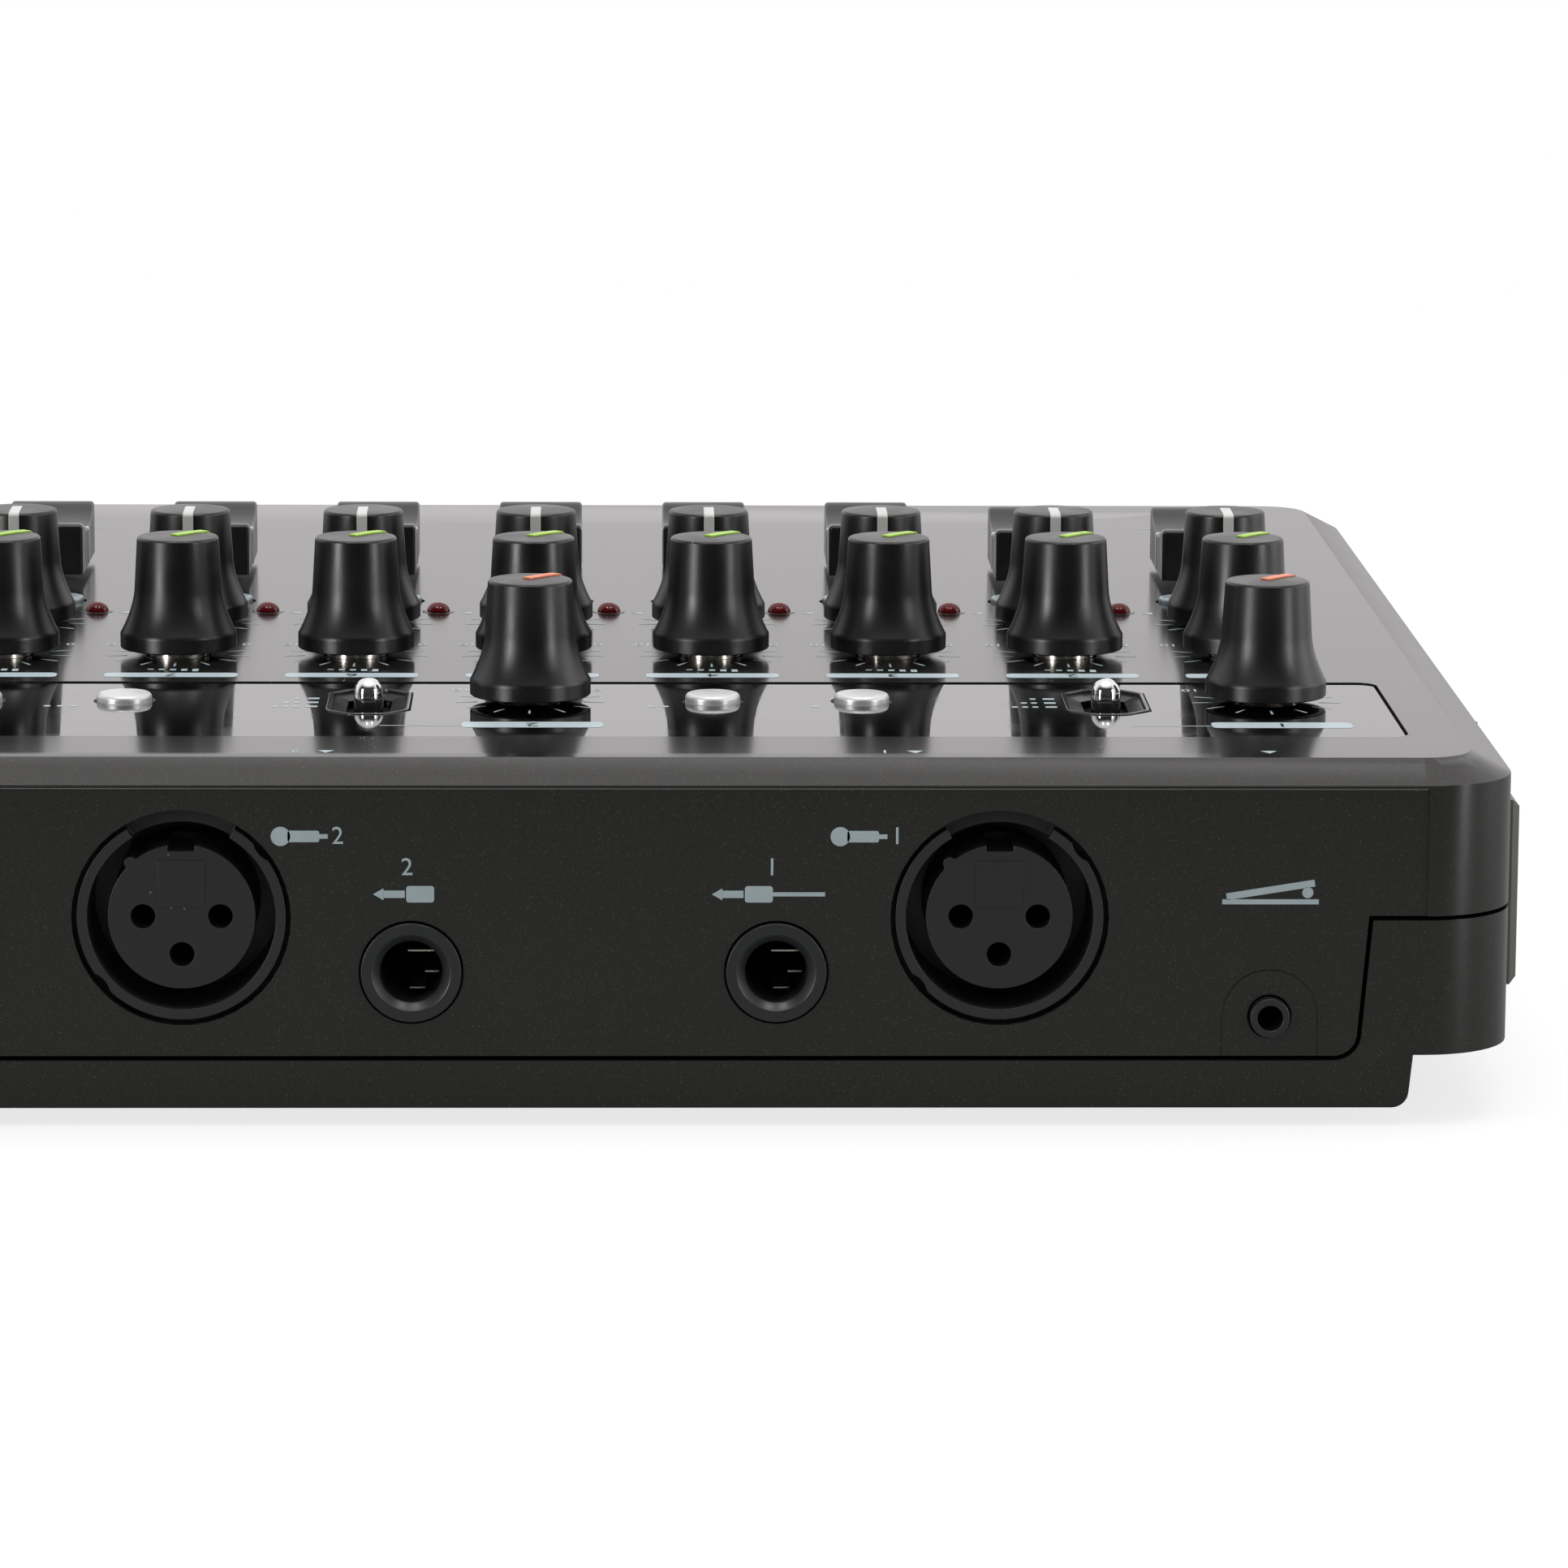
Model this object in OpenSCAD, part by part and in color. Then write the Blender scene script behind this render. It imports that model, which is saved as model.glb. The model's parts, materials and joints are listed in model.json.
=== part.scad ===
// Desktop digital multitrack recorder: a low two-part case with eight channel strips, a glossy input panel,
// sockets along the back wall and a control block on the right.
// The origin is on the table under the middle of the case. +Z is up, the player sits at -Y and the sockets
// face +Y.

/* [Case] */
// Width of the case, left to right
body_w = 290; // [286:1:320]
// Depth of the case, front to back
body_d = 204.5; // [200:0.5:230]
// Height of the case without its feet
body_h = 37.6; // [37:0.1:44]
// Radius of the four upright corners
corner_r = 10; // [8:0.5:12]
// Width of the slope round the top edge, seen from above
bevel_w = 4.5; // [3:0.1:5.5]
// Height of the slope round the top edge
bevel_h = 2.3; // [1.5:0.1:3]
// Thickness of the upright walls
wall = 2.2; // [1.8:0.1:2.6]
// Thickness of the top plate
top_t = 3.2; // [3:0.1:4]
// Thickness of the floor
floor_t = 2.2; // [2:0.1:3]
// Gap where the two halves of the case meet
seam = 0.45; // [0.3:0.05:0.6]
// Height of the case joint above the case bottom along the back
rear_seam_h = 5.2; // [4.6:0.1:5.6]
// Height of the case joint above the case bottom along the sides and front
side_seam_h = 20.6; // [19:0.1:22]
// Distance from the side to the upright case joint at the back
upright_in = 17.2; // [15.5:0.1:18]
// Lean of the upright case joint, in degrees
upright_lean = 4.8; // [0:0.2:8]
// Radius at the foot of the upright case joint
upright_r = 2.5; // [1.5:0.1:3]
// Distance from the side to the plinth
plinth_in = 11; // [10:0.5:12]
// Height of the plinth
plinth_h = 5.8; // [5.7:0.1:6.2]
// Distance that the plinth sides lean in
plinth_draft = 0.7; // [0:0.1:1]
// Depth of the shallow recess in the back wall
back_recess = 0.3; // [0.2:0.05:0.4]
// Distance from the side to the end of that recess
back_recess_in = 9.9; // [9:0.1:10.5]
// Height of the thin lip above that recess
back_lip_h = 0.3; // [0.2:0.05:0.6]

/* [Feet and screws] */
// Height of the rubber feet below the case
foot_h = 2; // [1.5:0.1:3]
// Radius of the rubber feet
foot_r = 7; // [5:0.5:8]
// Depth of the foot pockets
foot_pocket = 0.8; // [0.5:0.1:1.2]
// Distance from the side to each foot
foot_in_x = 37; // [34:0.5:44]
// Distance from the front and back to each foot
foot_in = 21; // [18:1:26]
// Shank radius of the case screws
screw_r = 1.4; // [1.3:0.05:1.5]
// Head radius of the case screws
screw_head_r = 2.9; // [2.7:0.1:3]
// Distance from the side to the case screws
screw_in_x = 18; // [17.5:0.5:19]
// Distance from the front and back to the case screws
screw_in_y = 14; // [13:0.5:14.5]

/* [Input panel] */
// Distance from the back to the glossy panel
panel_d0 = 17.8; // [17:0.1:19]
// Distance from the back to the front edge of the glossy panel
panel_d1 = 53.6; // [52:0.1:55]
// Distance from the side to the glossy panel
panel_in = 10.4; // [9:0.1:12]
// Thickness of the glossy panel
panel_t = 1.5; // [1.2:0.1:1.6]
// Depth of the glossy panel below the top
panel_sink = 0.4; // [0.2:0.05:0.5]
// Gap round the glossy panel
panel_gap = 0.3; // [0.2:0.05:0.4]
// Corner radius of the glossy panel
panel_r = 2; // [1:0.1:3]
// Width of the display block of the glossy panel
display_block_w = 79.6; // [78:0.2:81]
// Distance from the back to the front edge of the display block
display_block_d1 = 66; // [64:0.5:68]
// Width of the display window
window_w = 66; // [62:0.5:70]
// Depth of the display window, front to back
window_d = 34; // [30:0.5:36]

/* [Channel strips] */
// Distance from the left side to the first channel strip
track_in = 23.8; // [23:0.1:25]
// Distance from the right side to the master fader
master_in = 100.2; // [100:0.1:101]
// Distance from the back to the row of trims, levers and buttons
input_row = 41.5; // [40:0.1:42.5]
// Distance from the reverb knobs to the pan knobs
reverb_step = 24; // [22:0.1:25]
// Distance from the pan knobs to the lamps
pan_step = 9; // [8.5:0.1:10]
// Distance from the lamps to the record keys
lamp_step = 8.5; // [7.5:0.1:9]
// Distance from the record keys to the middle of a fader cap at the far end of its travel
record_step = 18.5; // [18:0.1:19.5]
// Distance from a strip to its lamp
lamp_off = 9.1; // [8.8:0.1:9.6]
// Radius of the lamp lenses
lamp_r = 1.4; // [1.2:0.05:1.5]
// Length of a record key
record_key_w = 13; // [12:0.1:14]
// Width of a record key
record_key_d = 5; // [4.5:0.1:5.2]

/* [Knobs] */
// Radius of the knob skirt
knob_skirt_r = 6.62; // [6.3:0.01:7]
// Height of the knob skirt
knob_skirt_h = 1.9; // [1.6:0.1:2.2]
// Radius of the knob at its neck
knob_neck_r = 5; // [4.9:0.05:5.4]
// Radius of the knob at its top
knob_top_r = 4.65; // [4.5:0.01:4.85]
// Height of the neck above the knob bottom
knob_neck_h = 6.6; // [6:0.1:7.5]
// Height of the knob
knob_h = 12.7; // [12:0.1:13.5]
// Gap between a knob and the case top
knob_gap = 1.6; // [1.5:0.05:2.2]
// Gap between a trim knob and the glossy panel
trim_gap = 0.8; // [0.6:0.05:1.2]
// Width of the raised pointer
pointer_w = 1.4; // [1.1:0.1:1.6]
// Height of the raised pointer
pointer_h = 0.4; // [0.3:0.05:0.5]
// Angle of a pointer at its lowest setting, from straight back
pointer_low = 140; // [130:1:150]
// Radius of the potentiometer spindles
spindle_r = 3; // [2.8:0.05:3.1]
// Radius of the potentiometer bushings
bushing_r = 3.5; // [3.4:0.05:3.7]
// Height of the bushings above the case top
bushing_up = 1.3; // [1:0.05:1.4]
// Width of a potentiometer body
pot_w = 9.6; // [9:0.1:10.4]
// Depth of a potentiometer body
pot_d = 10.6; // [10:0.1:11]
// Height of a potentiometer body, which sets the panel board's distance from the case top
pot_h = 6.5; // [6.3:0.1:7]

/* [Faders] */
// Width of a fader cap
cap_w = 10.5; // [9.5:0.1:11.5]
// Length of a fader cap
cap_l = 20.5; // [18:0.1:21.5]
// Height of a fader cap
cap_h = 6.3; // [5.5:0.1:7.2]
// Depth of the finger dip in a fader cap
cap_dip = 1.7; // [1.2:0.1:2.2]
// Gap between a fader cap and the case top
cap_gap = 1; // [0.7:0.1:1.3]
// Distance from the back to the middle of a fader cap at the far end of its travel
fader_d0 = 133; // [132.5:0.1:134]
// Distance from the front to the middle of a fader cap at the near end of its travel
fader_front = 26.5; // [24.5:0.1:31]
// Thickness of the fader blade
blade_t = 1.2; // [1:0.05:1.4]
// Length of the fader blade along its slot
blade_l = 5; // [4:0.1:6]

/* [Levers and buttons] */
// Radius of the lever
lever_r = 1.65; // [1.5:0.01:1.75]
// Height of the lever above the glossy panel
lever_up = 4; // [3.4:0.1:4.6]
// Travel of a lever to each side
lever_travel = 3; // [2.5:0.1:3.3]
// Width of the lever opening
lever_open_w = 10.2; // [9.6:0.1:10.8]
// Length of the lever opening
lever_open_l = 20; // [19:0.1:20.6]
// Corner cut of the lever opening
lever_open_cut = 3; // [2.5:0.1:3.5]
// Radius of a round button
button_r = 3.1; // [2.9:0.05:3.3]
// Height of a round button above the glossy panel
button_up = 1.5; // [1.3:0.1:1.8]
// Press of every button and key
press = 0.6; // [0.5:0.05:0.7]
// Gap round every button and key
key_gap = 0.35; // [0.25:0.05:0.45]
// Height of the record and menu keys above the case top
key_up = 1.5; // [1.2:0.1:1.8]

/* [Control block] */
// Distance from the right side to the middle of the control block
control_in = 49; // [48.6:0.1:49.4]
// Distance from the back to the menu keys
menu_row = 78; // [76:0.5:80]
// Spacing of the menu keys
menu_pitch = 18; // [16:0.2:18.6]
// Distance from the back to the data wheel
wheel_row = 112; // [111:0.5:114]
// Radius of the data wheel
wheel_r = 20; // [17:0.5:22]
// Height of the data wheel
wheel_h = 6; // [5:0.1:7]
// Gap between the data wheel and the case top
wheel_gap = 0.6; // [0.4:0.05:0.9]
// Distance from the front to the transport keys
transport_front = 30.5; // [26.5:0.5:34.5]
// Spacing of the transport keys
transport_pitch = 16; // [15.8:0.1:16.8]
// Width of a transport key
transport_w = 13.4; // [12:0.1:13.6]
// Depth of a transport key, front to back
transport_d = 10; // [8:0.1:12]
// Height of a transport key above the case top
transport_up = 2.2; // [1.8:0.1:3]

/* [Back sockets] */
// Height of the microphone sockets above the case bottom
mic_h = 20.8; // [20.5:0.1:21]
// Place of the first microphone socket, as a share of the case's width from the left
mic_at_a = 0.1928; // [0.19:0.0002:0.196]
// Place of the second microphone socket, as a share of the case's width from the left
mic_at_b = 0.4955; // [0.49:0.0005:0.5]
// Radius of the panel hole of a microphone socket
mic_hole_r = 11.75; // [11.5:0.05:12]
// Outer radius of the microphone socket ring
mic_ring_r = 11.2; // [11:0.05:11.4]
// Inner radius of the microphone socket ring
mic_bore_r = 10.1; // [9.8:0.05:10.3]
// Radius of the microphone socket insert
mic_insert_r = 7.9; // [7.6:0.05:8.2]
// Radius of the circle of the microphone contacts
mic_pin_circle = 4.15; // [3.8:0.05:4.4]
// Radius of a microphone contact hole
mic_pin_r = 1.33; // [1.2:0.01:1.5]
// Width of the latch gap in the ring, in degrees
mic_latch = 62; // [50:1:80]
// Height of the line jacks above the case bottom
line_h = 14.85; // [14.5:0.05:15.5]
// Place of the first line jack, as a share of the case's width from the left
line_at_a = 0.2755; // [0.2725:0.0005:0.279]
// Place of the second line jack, as a share of the case's width from the left
line_at_b = 0.4107; // [0.407:0.0001:0.4135]
// Place of the send jack, as a share of the case's width from the left
send_at = 0.6035; // [0.6:0.0005:0.61]
// Place of the monitor jack, as a share of the case's width from the left
monitor_at = 0.6795; // [0.6725:0.0005:0.686]
// Radius of a line jack nose
line_nose_r = 5.4; // [5.2:0.05:5.6]
// Radius of a line jack bore
line_bore_r = 3.35; // [3.25:0.01:3.4]
// Depth of a line jack body
line_body_d = 26; // [24:0.5:30]
// Height of the remote jack above the case bottom
remote_h = 10; // [9.8:0.05:10.6]
// Distance from the left side to the remote jack
remote_in = 26.7; // [26.4:0.1:27.4]
// Radius of the remote jack nose
remote_nose_r = 2.15; // [2:0.05:2.3]
// Radius of the remote jack bore
remote_bore_r = 1.38; // [1.3:0.01:1.45]
// Distance that the remote jack nose stands out
remote_out = 1.2; // [0.8:0.1:1.6]
// Distance from the right side to the power button
power_button_in = 53; // [50:0.5:56]
// Radius of the power button
power_button_r = 4; // [3.5:0.1:4.5]
// Distance that the power button stands out
power_button_out = 2; // [1.9:0.1:2.5]
// Press of the power button
power_press = 1.5; // [1:0.1:1.7]
// Distance from the right side to the power inlet
power_in = 32; // [31:0.5:34]
// Radius of the power inlet bore
power_bore_r = 2.8; // [2.7:0.05:3]

/* [Side door] */
// Distance from the back to the side door
door_d0 = 18; // [17:0.5:19]
// Length of the side door
door_l = 40; // [38:0.5:42]
// Height of the side door's lower edge above the case bottom
door_h0 = 9.8; // [9.2:0.1:10.2]
// Height of the side door
door_h = 20.7; // [20:0.1:22]
// Thickness of the side door
door_t = 2; // [1.8:0.1:2.2]
// Edge slope of the side door
door_edge = 0.8; // [0.4:0.1:1]
// Gap between the side door and the case
door_gap = 0.25; // [0.2:0.05:0.35]
// Radius of the side door pin
pin_r = 0.6; // [0.5:0.05:0.65]

/* [Hidden] */
$fn = 64;
// Counts that the list of parts fixes
tracks = 8;
menu_keys = 4;
transport_keys = 5;
// Bite that makes a cut run past the face it cuts
bite = 1;
// Running clearance of a turning shaft, all round
run_gap = 0.05;
// Clearance of a part that slides without play
slide_gap = 0.2;
// Clearance of a fader blade in its case slot
slot_gap = 0.5;
// Clearance of a bushing or a jack nose in its hole, all round
nose_gap = 0.25;
board_t = 1.6;
// Floor left under the shaft of a potentiometer and the blade of a slide potentiometer
pot_floor = 1;
slide_floor = 1.5;
mic_in = [mic_at_a, mic_at_b] * body_w;
line_in = [line_at_a, line_at_b, send_at, monitor_at] * body_w;
transport_r = 1;
// Width of the ledge under the display window
window_ledge = 3;
// Wall of the power inlet's mouth
power_rim = 1.5;
// Depth of the flat on a spindle
spindle_flat = 1.2;

left = -body_w / 2;
right = body_w / 2;
back = body_d / 2;
front = -body_d / 2;
z_case = foot_h;
z_top = z_case + body_h;
z_under = z_top - top_t;
z_bevel = z_top - bevel_h;
z_panel = z_top - panel_sink;
z_pocket = z_panel - panel_t;
z_rear_seam = z_case + rear_seam_h;
z_side_seam = z_case + side_seam_h;
z_ledge = z_case + plinth_h;
z_floor = z_case + floor_t;
z_board = z_under - pot_h;
standoff_h = 4;
z_main = z_floor + standoff_h + board_t;
back_face = back - back_recess;
inner_back = back - wall - back_recess;

track_pitch = (body_w - track_in - master_in) / tracks;
// Distances from a trim knob to its lever and round buttons, which keep their share of the strip spacing
lever_off = 0.875 * track_pitch;
button_off = 2.2 * track_pitch;
button_pitch = 0.81 * track_pitch;
function track_x(i) = left + track_in + i * track_pitch;
function lamp_x(i) = track_x(i) - lamp_off;
// Distances from the back to the rows of the strips, counted back from the faders
record_row = fader_d0 - record_step;
lamp_row = record_row - lamp_step;
pan_row = lamp_row - pan_step;
reverb_row = pan_row - reverb_step;
// Strip whose column holds each trim knob
trim_track = [0, 4];
function lever_x(k) = track_x(trim_track[k]) + lever_off;
function button_x(k, j) = track_x(trim_track[k]) + button_off + j * button_pitch;
master_x = track_x(tracks);
control_x = right - control_in;
function menu_x(i) = control_x + (i - (menu_keys - 1) / 2) * menu_pitch;
function transport_x(i) = control_x + (i - (transport_keys - 1) / 2) * transport_pitch;
// Distance of each fader from the far end of its travel, as the player left it
fader_set = [2.5, 2.5, 6.5, 6.5, 6.5, 6.5, 6.5, 6.5, 6.5];
fader_travel = body_d - fader_d0 - fader_front;
transport_row = body_d - transport_front;
fader_slot_w = blade_t + 2 * slot_gap;
fader_slot_l = fader_travel + blade_l + 2;
fader_mid = fader_d0 + fader_travel / 2;
fader_body_w = 8;
fader_body_l = fader_slot_l + 8;
// Knob positions: every potentiometer as [x, distance from the back]
trim_places = [for (t = trim_track) [track_x(t), input_row]];
strip_places = [for (row = [reverb_row, pan_row], i = [0:tracks - 1]) [track_x(i), row]];
level_place = [master_x, pan_row];
pot_places = concat(trim_places, strip_places, [level_place]);
lid_hole_r = bushing_r + nose_gap;
// Distance from the sides to the main board, and its distances from the back
main_in = 26;
main_d0 = 4;
main_d1 = 112;
main_w = body_w - 2 * main_in;
screw_places = [for (sx = [-1, 1], y = [back - screw_in_y, front + screw_in_y])
    [sx * (right - screw_in_x), y]];
// Distances from the sides, back edge and front edge of the main board to its standoffs
standoff_in = [15, 26, 12];
standoff_places = [for (sx = [-1, 1], d = [main_d0 + standoff_in[1], main_d1 - standoff_in[2]])
    [sx * (main_w / 2 - standoff_in[0]), back - d]];
foot_places = [for (sx = [-1, 1], y = [front + plinth_in + foot_in, back - foot_in])
    [sx * (right - foot_in_x), y]];
post_r = 3.5;
boss_r = 4.4;
// Distances from the sides, front and back to the panel board
panel_board_in = [10, 8, 26];
screw_head_h = 2;
// Clearance of a screw in its passing hole, all round
screw_gap = 0.3;
z_screw_seat = z_case + 4;
z_boss = z_case + 14;
screw_l = 22;
tact_w = 6;
tact_h = 3.4;
tact_floor = 0.8;
tact_plunger_r = 1.7;
// Distance from the inside of the back wall to the bottom of the power switch's plunger hole
power_switch_d = 9;
flange_h = 1;
// Width of the lever's tongue
tongue_w = 2;
lip = 1;
door_z0 = z_case + door_h0;
card_d0 = door_d0 + 5.5;
card_l = 26;
card_z0 = door_z0 + 4;
card_h = 11;
hinge_x = left - door_gap - door_t / 2;
hinge_y = back - door_d0 - door_l + door_t / 2;
ear_h = 1.8;

// Rectangle with round corners, centred
module rounded_rect(w, d, r) {
    square([w - 2 * r, d], center = true);
    square([w, d - 2 * r], center = true);
    for (sx = [-1, 1], sy = [-1, 1])
        translate([sx * (w / 2 - r), sy * (d / 2 - r)]) circle(r);
}

// Plate with round upright corners from height z0 to z1
module rounded_plate(w, d, r, z0, z1)
    translate([0, 0, z0]) linear_extrude(z1 - z0) rounded_rect(w, d, r);

// Box between two corners
module span(a, b) translate(a) cube(b - a);

// Upright round hole or post at a place [x, y], from height z
module upright(p, z, r, h) translate([p[0], p[1], z]) cylinder(r = r, h = h);

// Round rod along -Y that starts at distance y
module inward_rod(y, r, h) translate([0, y, 0]) rotate([90, 0, 0]) cylinder(r = r, h = h);

// Round-cornered block whose sides slope in by run over its height rise
module sloped_plate(w, d, r, run, rise) {
    rotate([90, 0, 90]) translate([0, 0, r - w / 2]) linear_extrude(w - 2 * r)
        polygon([[-d / 2, 0], [d / 2, 0], [d / 2 - run, rise], [run - d / 2, rise]]);
    rotate([90, 0, 0]) translate([0, 0, r - d / 2]) linear_extrude(d - 2 * r)
        polygon([[-w / 2, 0], [w / 2, 0], [w / 2 - run, rise], [run - w / 2, rise]]);
    for (sx = [-1, 1], sy = [-1, 1])
        translate([sx * (w / 2 - r), sy * (d / 2 - r), 0]) cylinder(r1 = r, r2 = r - run, h = rise);
}

// Cylinder along +Y from distance d0 to d1 measured inwards from the recessed back face, at x and height z
module back_rod(x, z, r, d0, d1)
    translate([x, back_face - d0, z]) rotate([90, 0, 0]) cylinder(r = r, h = d1 - d0);

// Outline, in X and Z, of the back wall's low middle part between the two uprights of the bottom case
module low_back_outline(grow, z_end) {
    c = [right - upright_in - upright_r, z_rear_seam + seam + upright_r];
    r = upright_r + grow;
    side = [c[0] + r * cos(upright_lean), c[1] - r * sin(upright_lean)];
    end = [side[0] + (z_end - side[1]) * tan(upright_lean), z_end];
    polygon([[-c[0], c[1] - r], [c[0], c[1] - r], side, end, [-end[0], end[1]], [-side[0], side[1]]]);
    for (sx = [-1, 1]) translate([sx * c[0], c[1]]) circle(r);
}

// That outline as a wall from distance d0 to d1 inwards from the back
module low_back_wall(grow, z_end, d0, d1)
    translate([0, back - d0, 0]) rotate([90, 0, 0]) linear_extrude(d1 - d0) low_back_outline(grow, z_end);

// Outline of the glossy panel, grown by a gap
module panel_outline(grow) {
    x1 = right - panel_in;
    for (b = [[left + panel_in, panel_d1], [x1 - display_block_w, display_block_d1]])
        translate([(b[0] + x1) / 2, back - (panel_d0 + b[1]) / 2])
            rounded_rect(x1 - b[0] + 2 * grow, b[1] - panel_d0 + 2 * grow, panel_r + grow);
}

// Eight-sided opening round a lever
module lever_opening() {
    x = lever_open_w / 2;
    y = lever_open_l / 2;
    c = lever_open_cut;
    polygon([[x, c - y], [x, y - c], [x - c, y], [c - x, y],
        [-x, y - c], [-x, c - y], [c - x, -y], [x - c, -y]]);
}

// Pill with round ends, centred
module pill(w, d) {
    square([w - d, d], center = true);
    for (s = [-1, 1]) translate([s * (w - d) / 2, 0]) circle(d / 2);
}

// Centre of the display window
module at_window() translate([control_x, back - (panel_d0 + display_block_d1) / 2, 0]) children();

module at_lever(k) translate([lever_x(k), back - input_row, 0]) children();
module at_button(k, j) translate([button_x(k, j), back - input_row, 0]) children();
module at_record(i) translate([track_x(i), back - record_row, 0]) children();
module at_menu(i) translate([menu_x(i), back - menu_row, 0]) children();
module at_transport(i) translate([transport_x(i), back - transport_row, 0]) children();
module at_fader(i) translate([track_x(i), back - fader_mid, 0]) children();
module at_wheel() translate([control_x, back - wheel_row, 0]) children();

// Everything that passes through the top plate, as one set of cuts
module top_openings() {
    z0 = z_under - bite;
    h = top_t + 2 * bite;
    for (p = pot_places) translate([p[0], back - p[1], z0]) cylinder(r = lid_hole_r, h = h);
    for (i = [0:tracks]) at_fader(i)
        translate([-fader_slot_w / 2, -fader_slot_l / 2, z0]) cube([fader_slot_w, fader_slot_l, h]);
    for (i = [0:tracks - 1]) {
        translate([lamp_x(i), back - lamp_row, z0]) cylinder(r = lamp_r + slide_gap, h = h);
        at_record(i) translate([0, 0, z0])
            linear_extrude(h) pill(record_key_w + 2 * key_gap, record_key_d + 2 * key_gap);
    }
    for (i = [0:menu_keys - 1]) at_menu(i) translate([0, 0, z0])
        linear_extrude(h) pill(record_key_w + 2 * key_gap, record_key_d + 2 * key_gap);
    for (i = [0:transport_keys - 1]) at_transport(i) translate([0, 0, z0]) linear_extrude(h)
        rounded_rect(transport_w + 2 * key_gap, transport_d + 2 * key_gap, transport_r + key_gap);
    for (k = [0, 1]) {
        at_lever(k) translate([0, 0, z0]) linear_extrude(h) rotate(90)
            pill(2 * (lever_travel + lever_r + slide_gap), 2 * (lever_r + slide_gap));
        for (j = [0, 1]) at_button(k, j) translate([0, 0, z0]) cylinder(r = button_r + key_gap, h = h);
    }
    at_wheel() translate([0, 0, z0]) cylinder(r = spindle_r + 2 * run_gap, h = h);
    at_window() translate([0, 0, z0]) linear_extrude(h)
        square([window_w - 2 * window_ledge, window_d - 2 * window_ledge], center = true);
}

// Everything that passes through the back wall
module back_openings() {
    d0 = -bite;
    d1 = wall + bite;
    for (x = mic_in) back_rod(left + x, z_case + mic_h, mic_hole_r, d0, d1);
    for (x = line_in) back_rod(left + x, z_case + line_h, line_nose_r + nose_gap, d0, d1);
    back_rod(left + remote_in, z_case + remote_h, remote_nose_r + nose_gap, d0, d1);
    back_rod(right - power_button_in, z_case + line_h, power_button_r + key_gap, d0, d1);
    back_rod(right - power_in, z_case + line_h, power_bore_r + power_rim + slide_gap, d0, d1);
}

// Fine round-topped groove round the remote jack, down to the case joint
module remote_groove() {
    groove = 0.16;
    arch_r = 5.25;
    module arch(r) {
        circle(r);
        translate([-r, -remote_h]) square([2 * r, remote_h]);
    }
    translate([left + remote_in, back_face + bite, z_case + remote_h]) rotate([90, 0, 0])
        linear_extrude(bite + groove) difference() {
            arch(arch_r);
            arch(arch_r - groove);
        }
}

// Opening in the side wall behind the side door
module card_opening()
    span([left - bite, back - card_d0 - card_l, card_z0],
        [left + wall + bite, back - card_d0, card_z0 + card_h]);

// Ear that holds one end of the door pin, from height z0
module door_ear(z0)
    difference() {
        union() {
            translate([hinge_x, hinge_y, z0]) cylinder(r = door_t / 2, h = ear_h);
            span([hinge_x, hinge_y - door_t / 2, z0], [left + wall / 2, hinge_y + door_t / 2, z0 + ear_h]);
        }
        translate([hinge_x, hinge_y, z0 - bite]) cylinder(r = pin_r + run_gap, h = ear_h + 2 * bite);
    }

module top_case() color([0.22, 0.22, 0.22]) {
    difference() {
        union() {
            difference() {
                union() {
                    rounded_plate(body_w, body_d, corner_r, z_side_seam + seam, z_bevel);
                    translate([0, 0, z_bevel]) sloped_plate(body_w, body_d, corner_r, bevel_w, bevel_h);
                }
                rounded_plate(body_w - 2 * wall, body_d - 2 * wall - 2 * back_recess, corner_r - wall,
                    z_side_seam, z_under);
            }
            low_back_wall(0, z_side_seam + seam + lip, 0, wall + back_recess);
            for (p = screw_places) upright(p, z_boss, post_r, z_under + lip - z_boss);
        }
        span([left + back_recess_in, back_face, z_case],
            [right - back_recess_in, back + bite, z_bevel - back_lip_h]);
        translate([0, 0, z_pocket]) linear_extrude(panel_t + panel_sink + bite) panel_outline(panel_gap);
        for (p = screw_places)
            upright(p, z_boss - bite, screw_r + run_gap, z_screw_seat + screw_l - z_boss + 2 * bite);
        top_openings();
        back_openings();
        remote_groove();
        card_opening();
    }
    door_ear(door_z0 + door_h + slide_gap);
}

// Plinth under the case, drawn in all round by an inset, from height z0 to z1
module plinth(inset, z0, z1) {
    half = right - plinth_in - inset;
    translate([0, back - inset, 0]) rotate([90, 0, 0]) linear_extrude(body_d - plinth_in - 2 * inset)
        polygon([[plinth_draft - half, z0], [half - plinth_draft, z0], [half, z1], [-half, z1]]);
}

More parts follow.
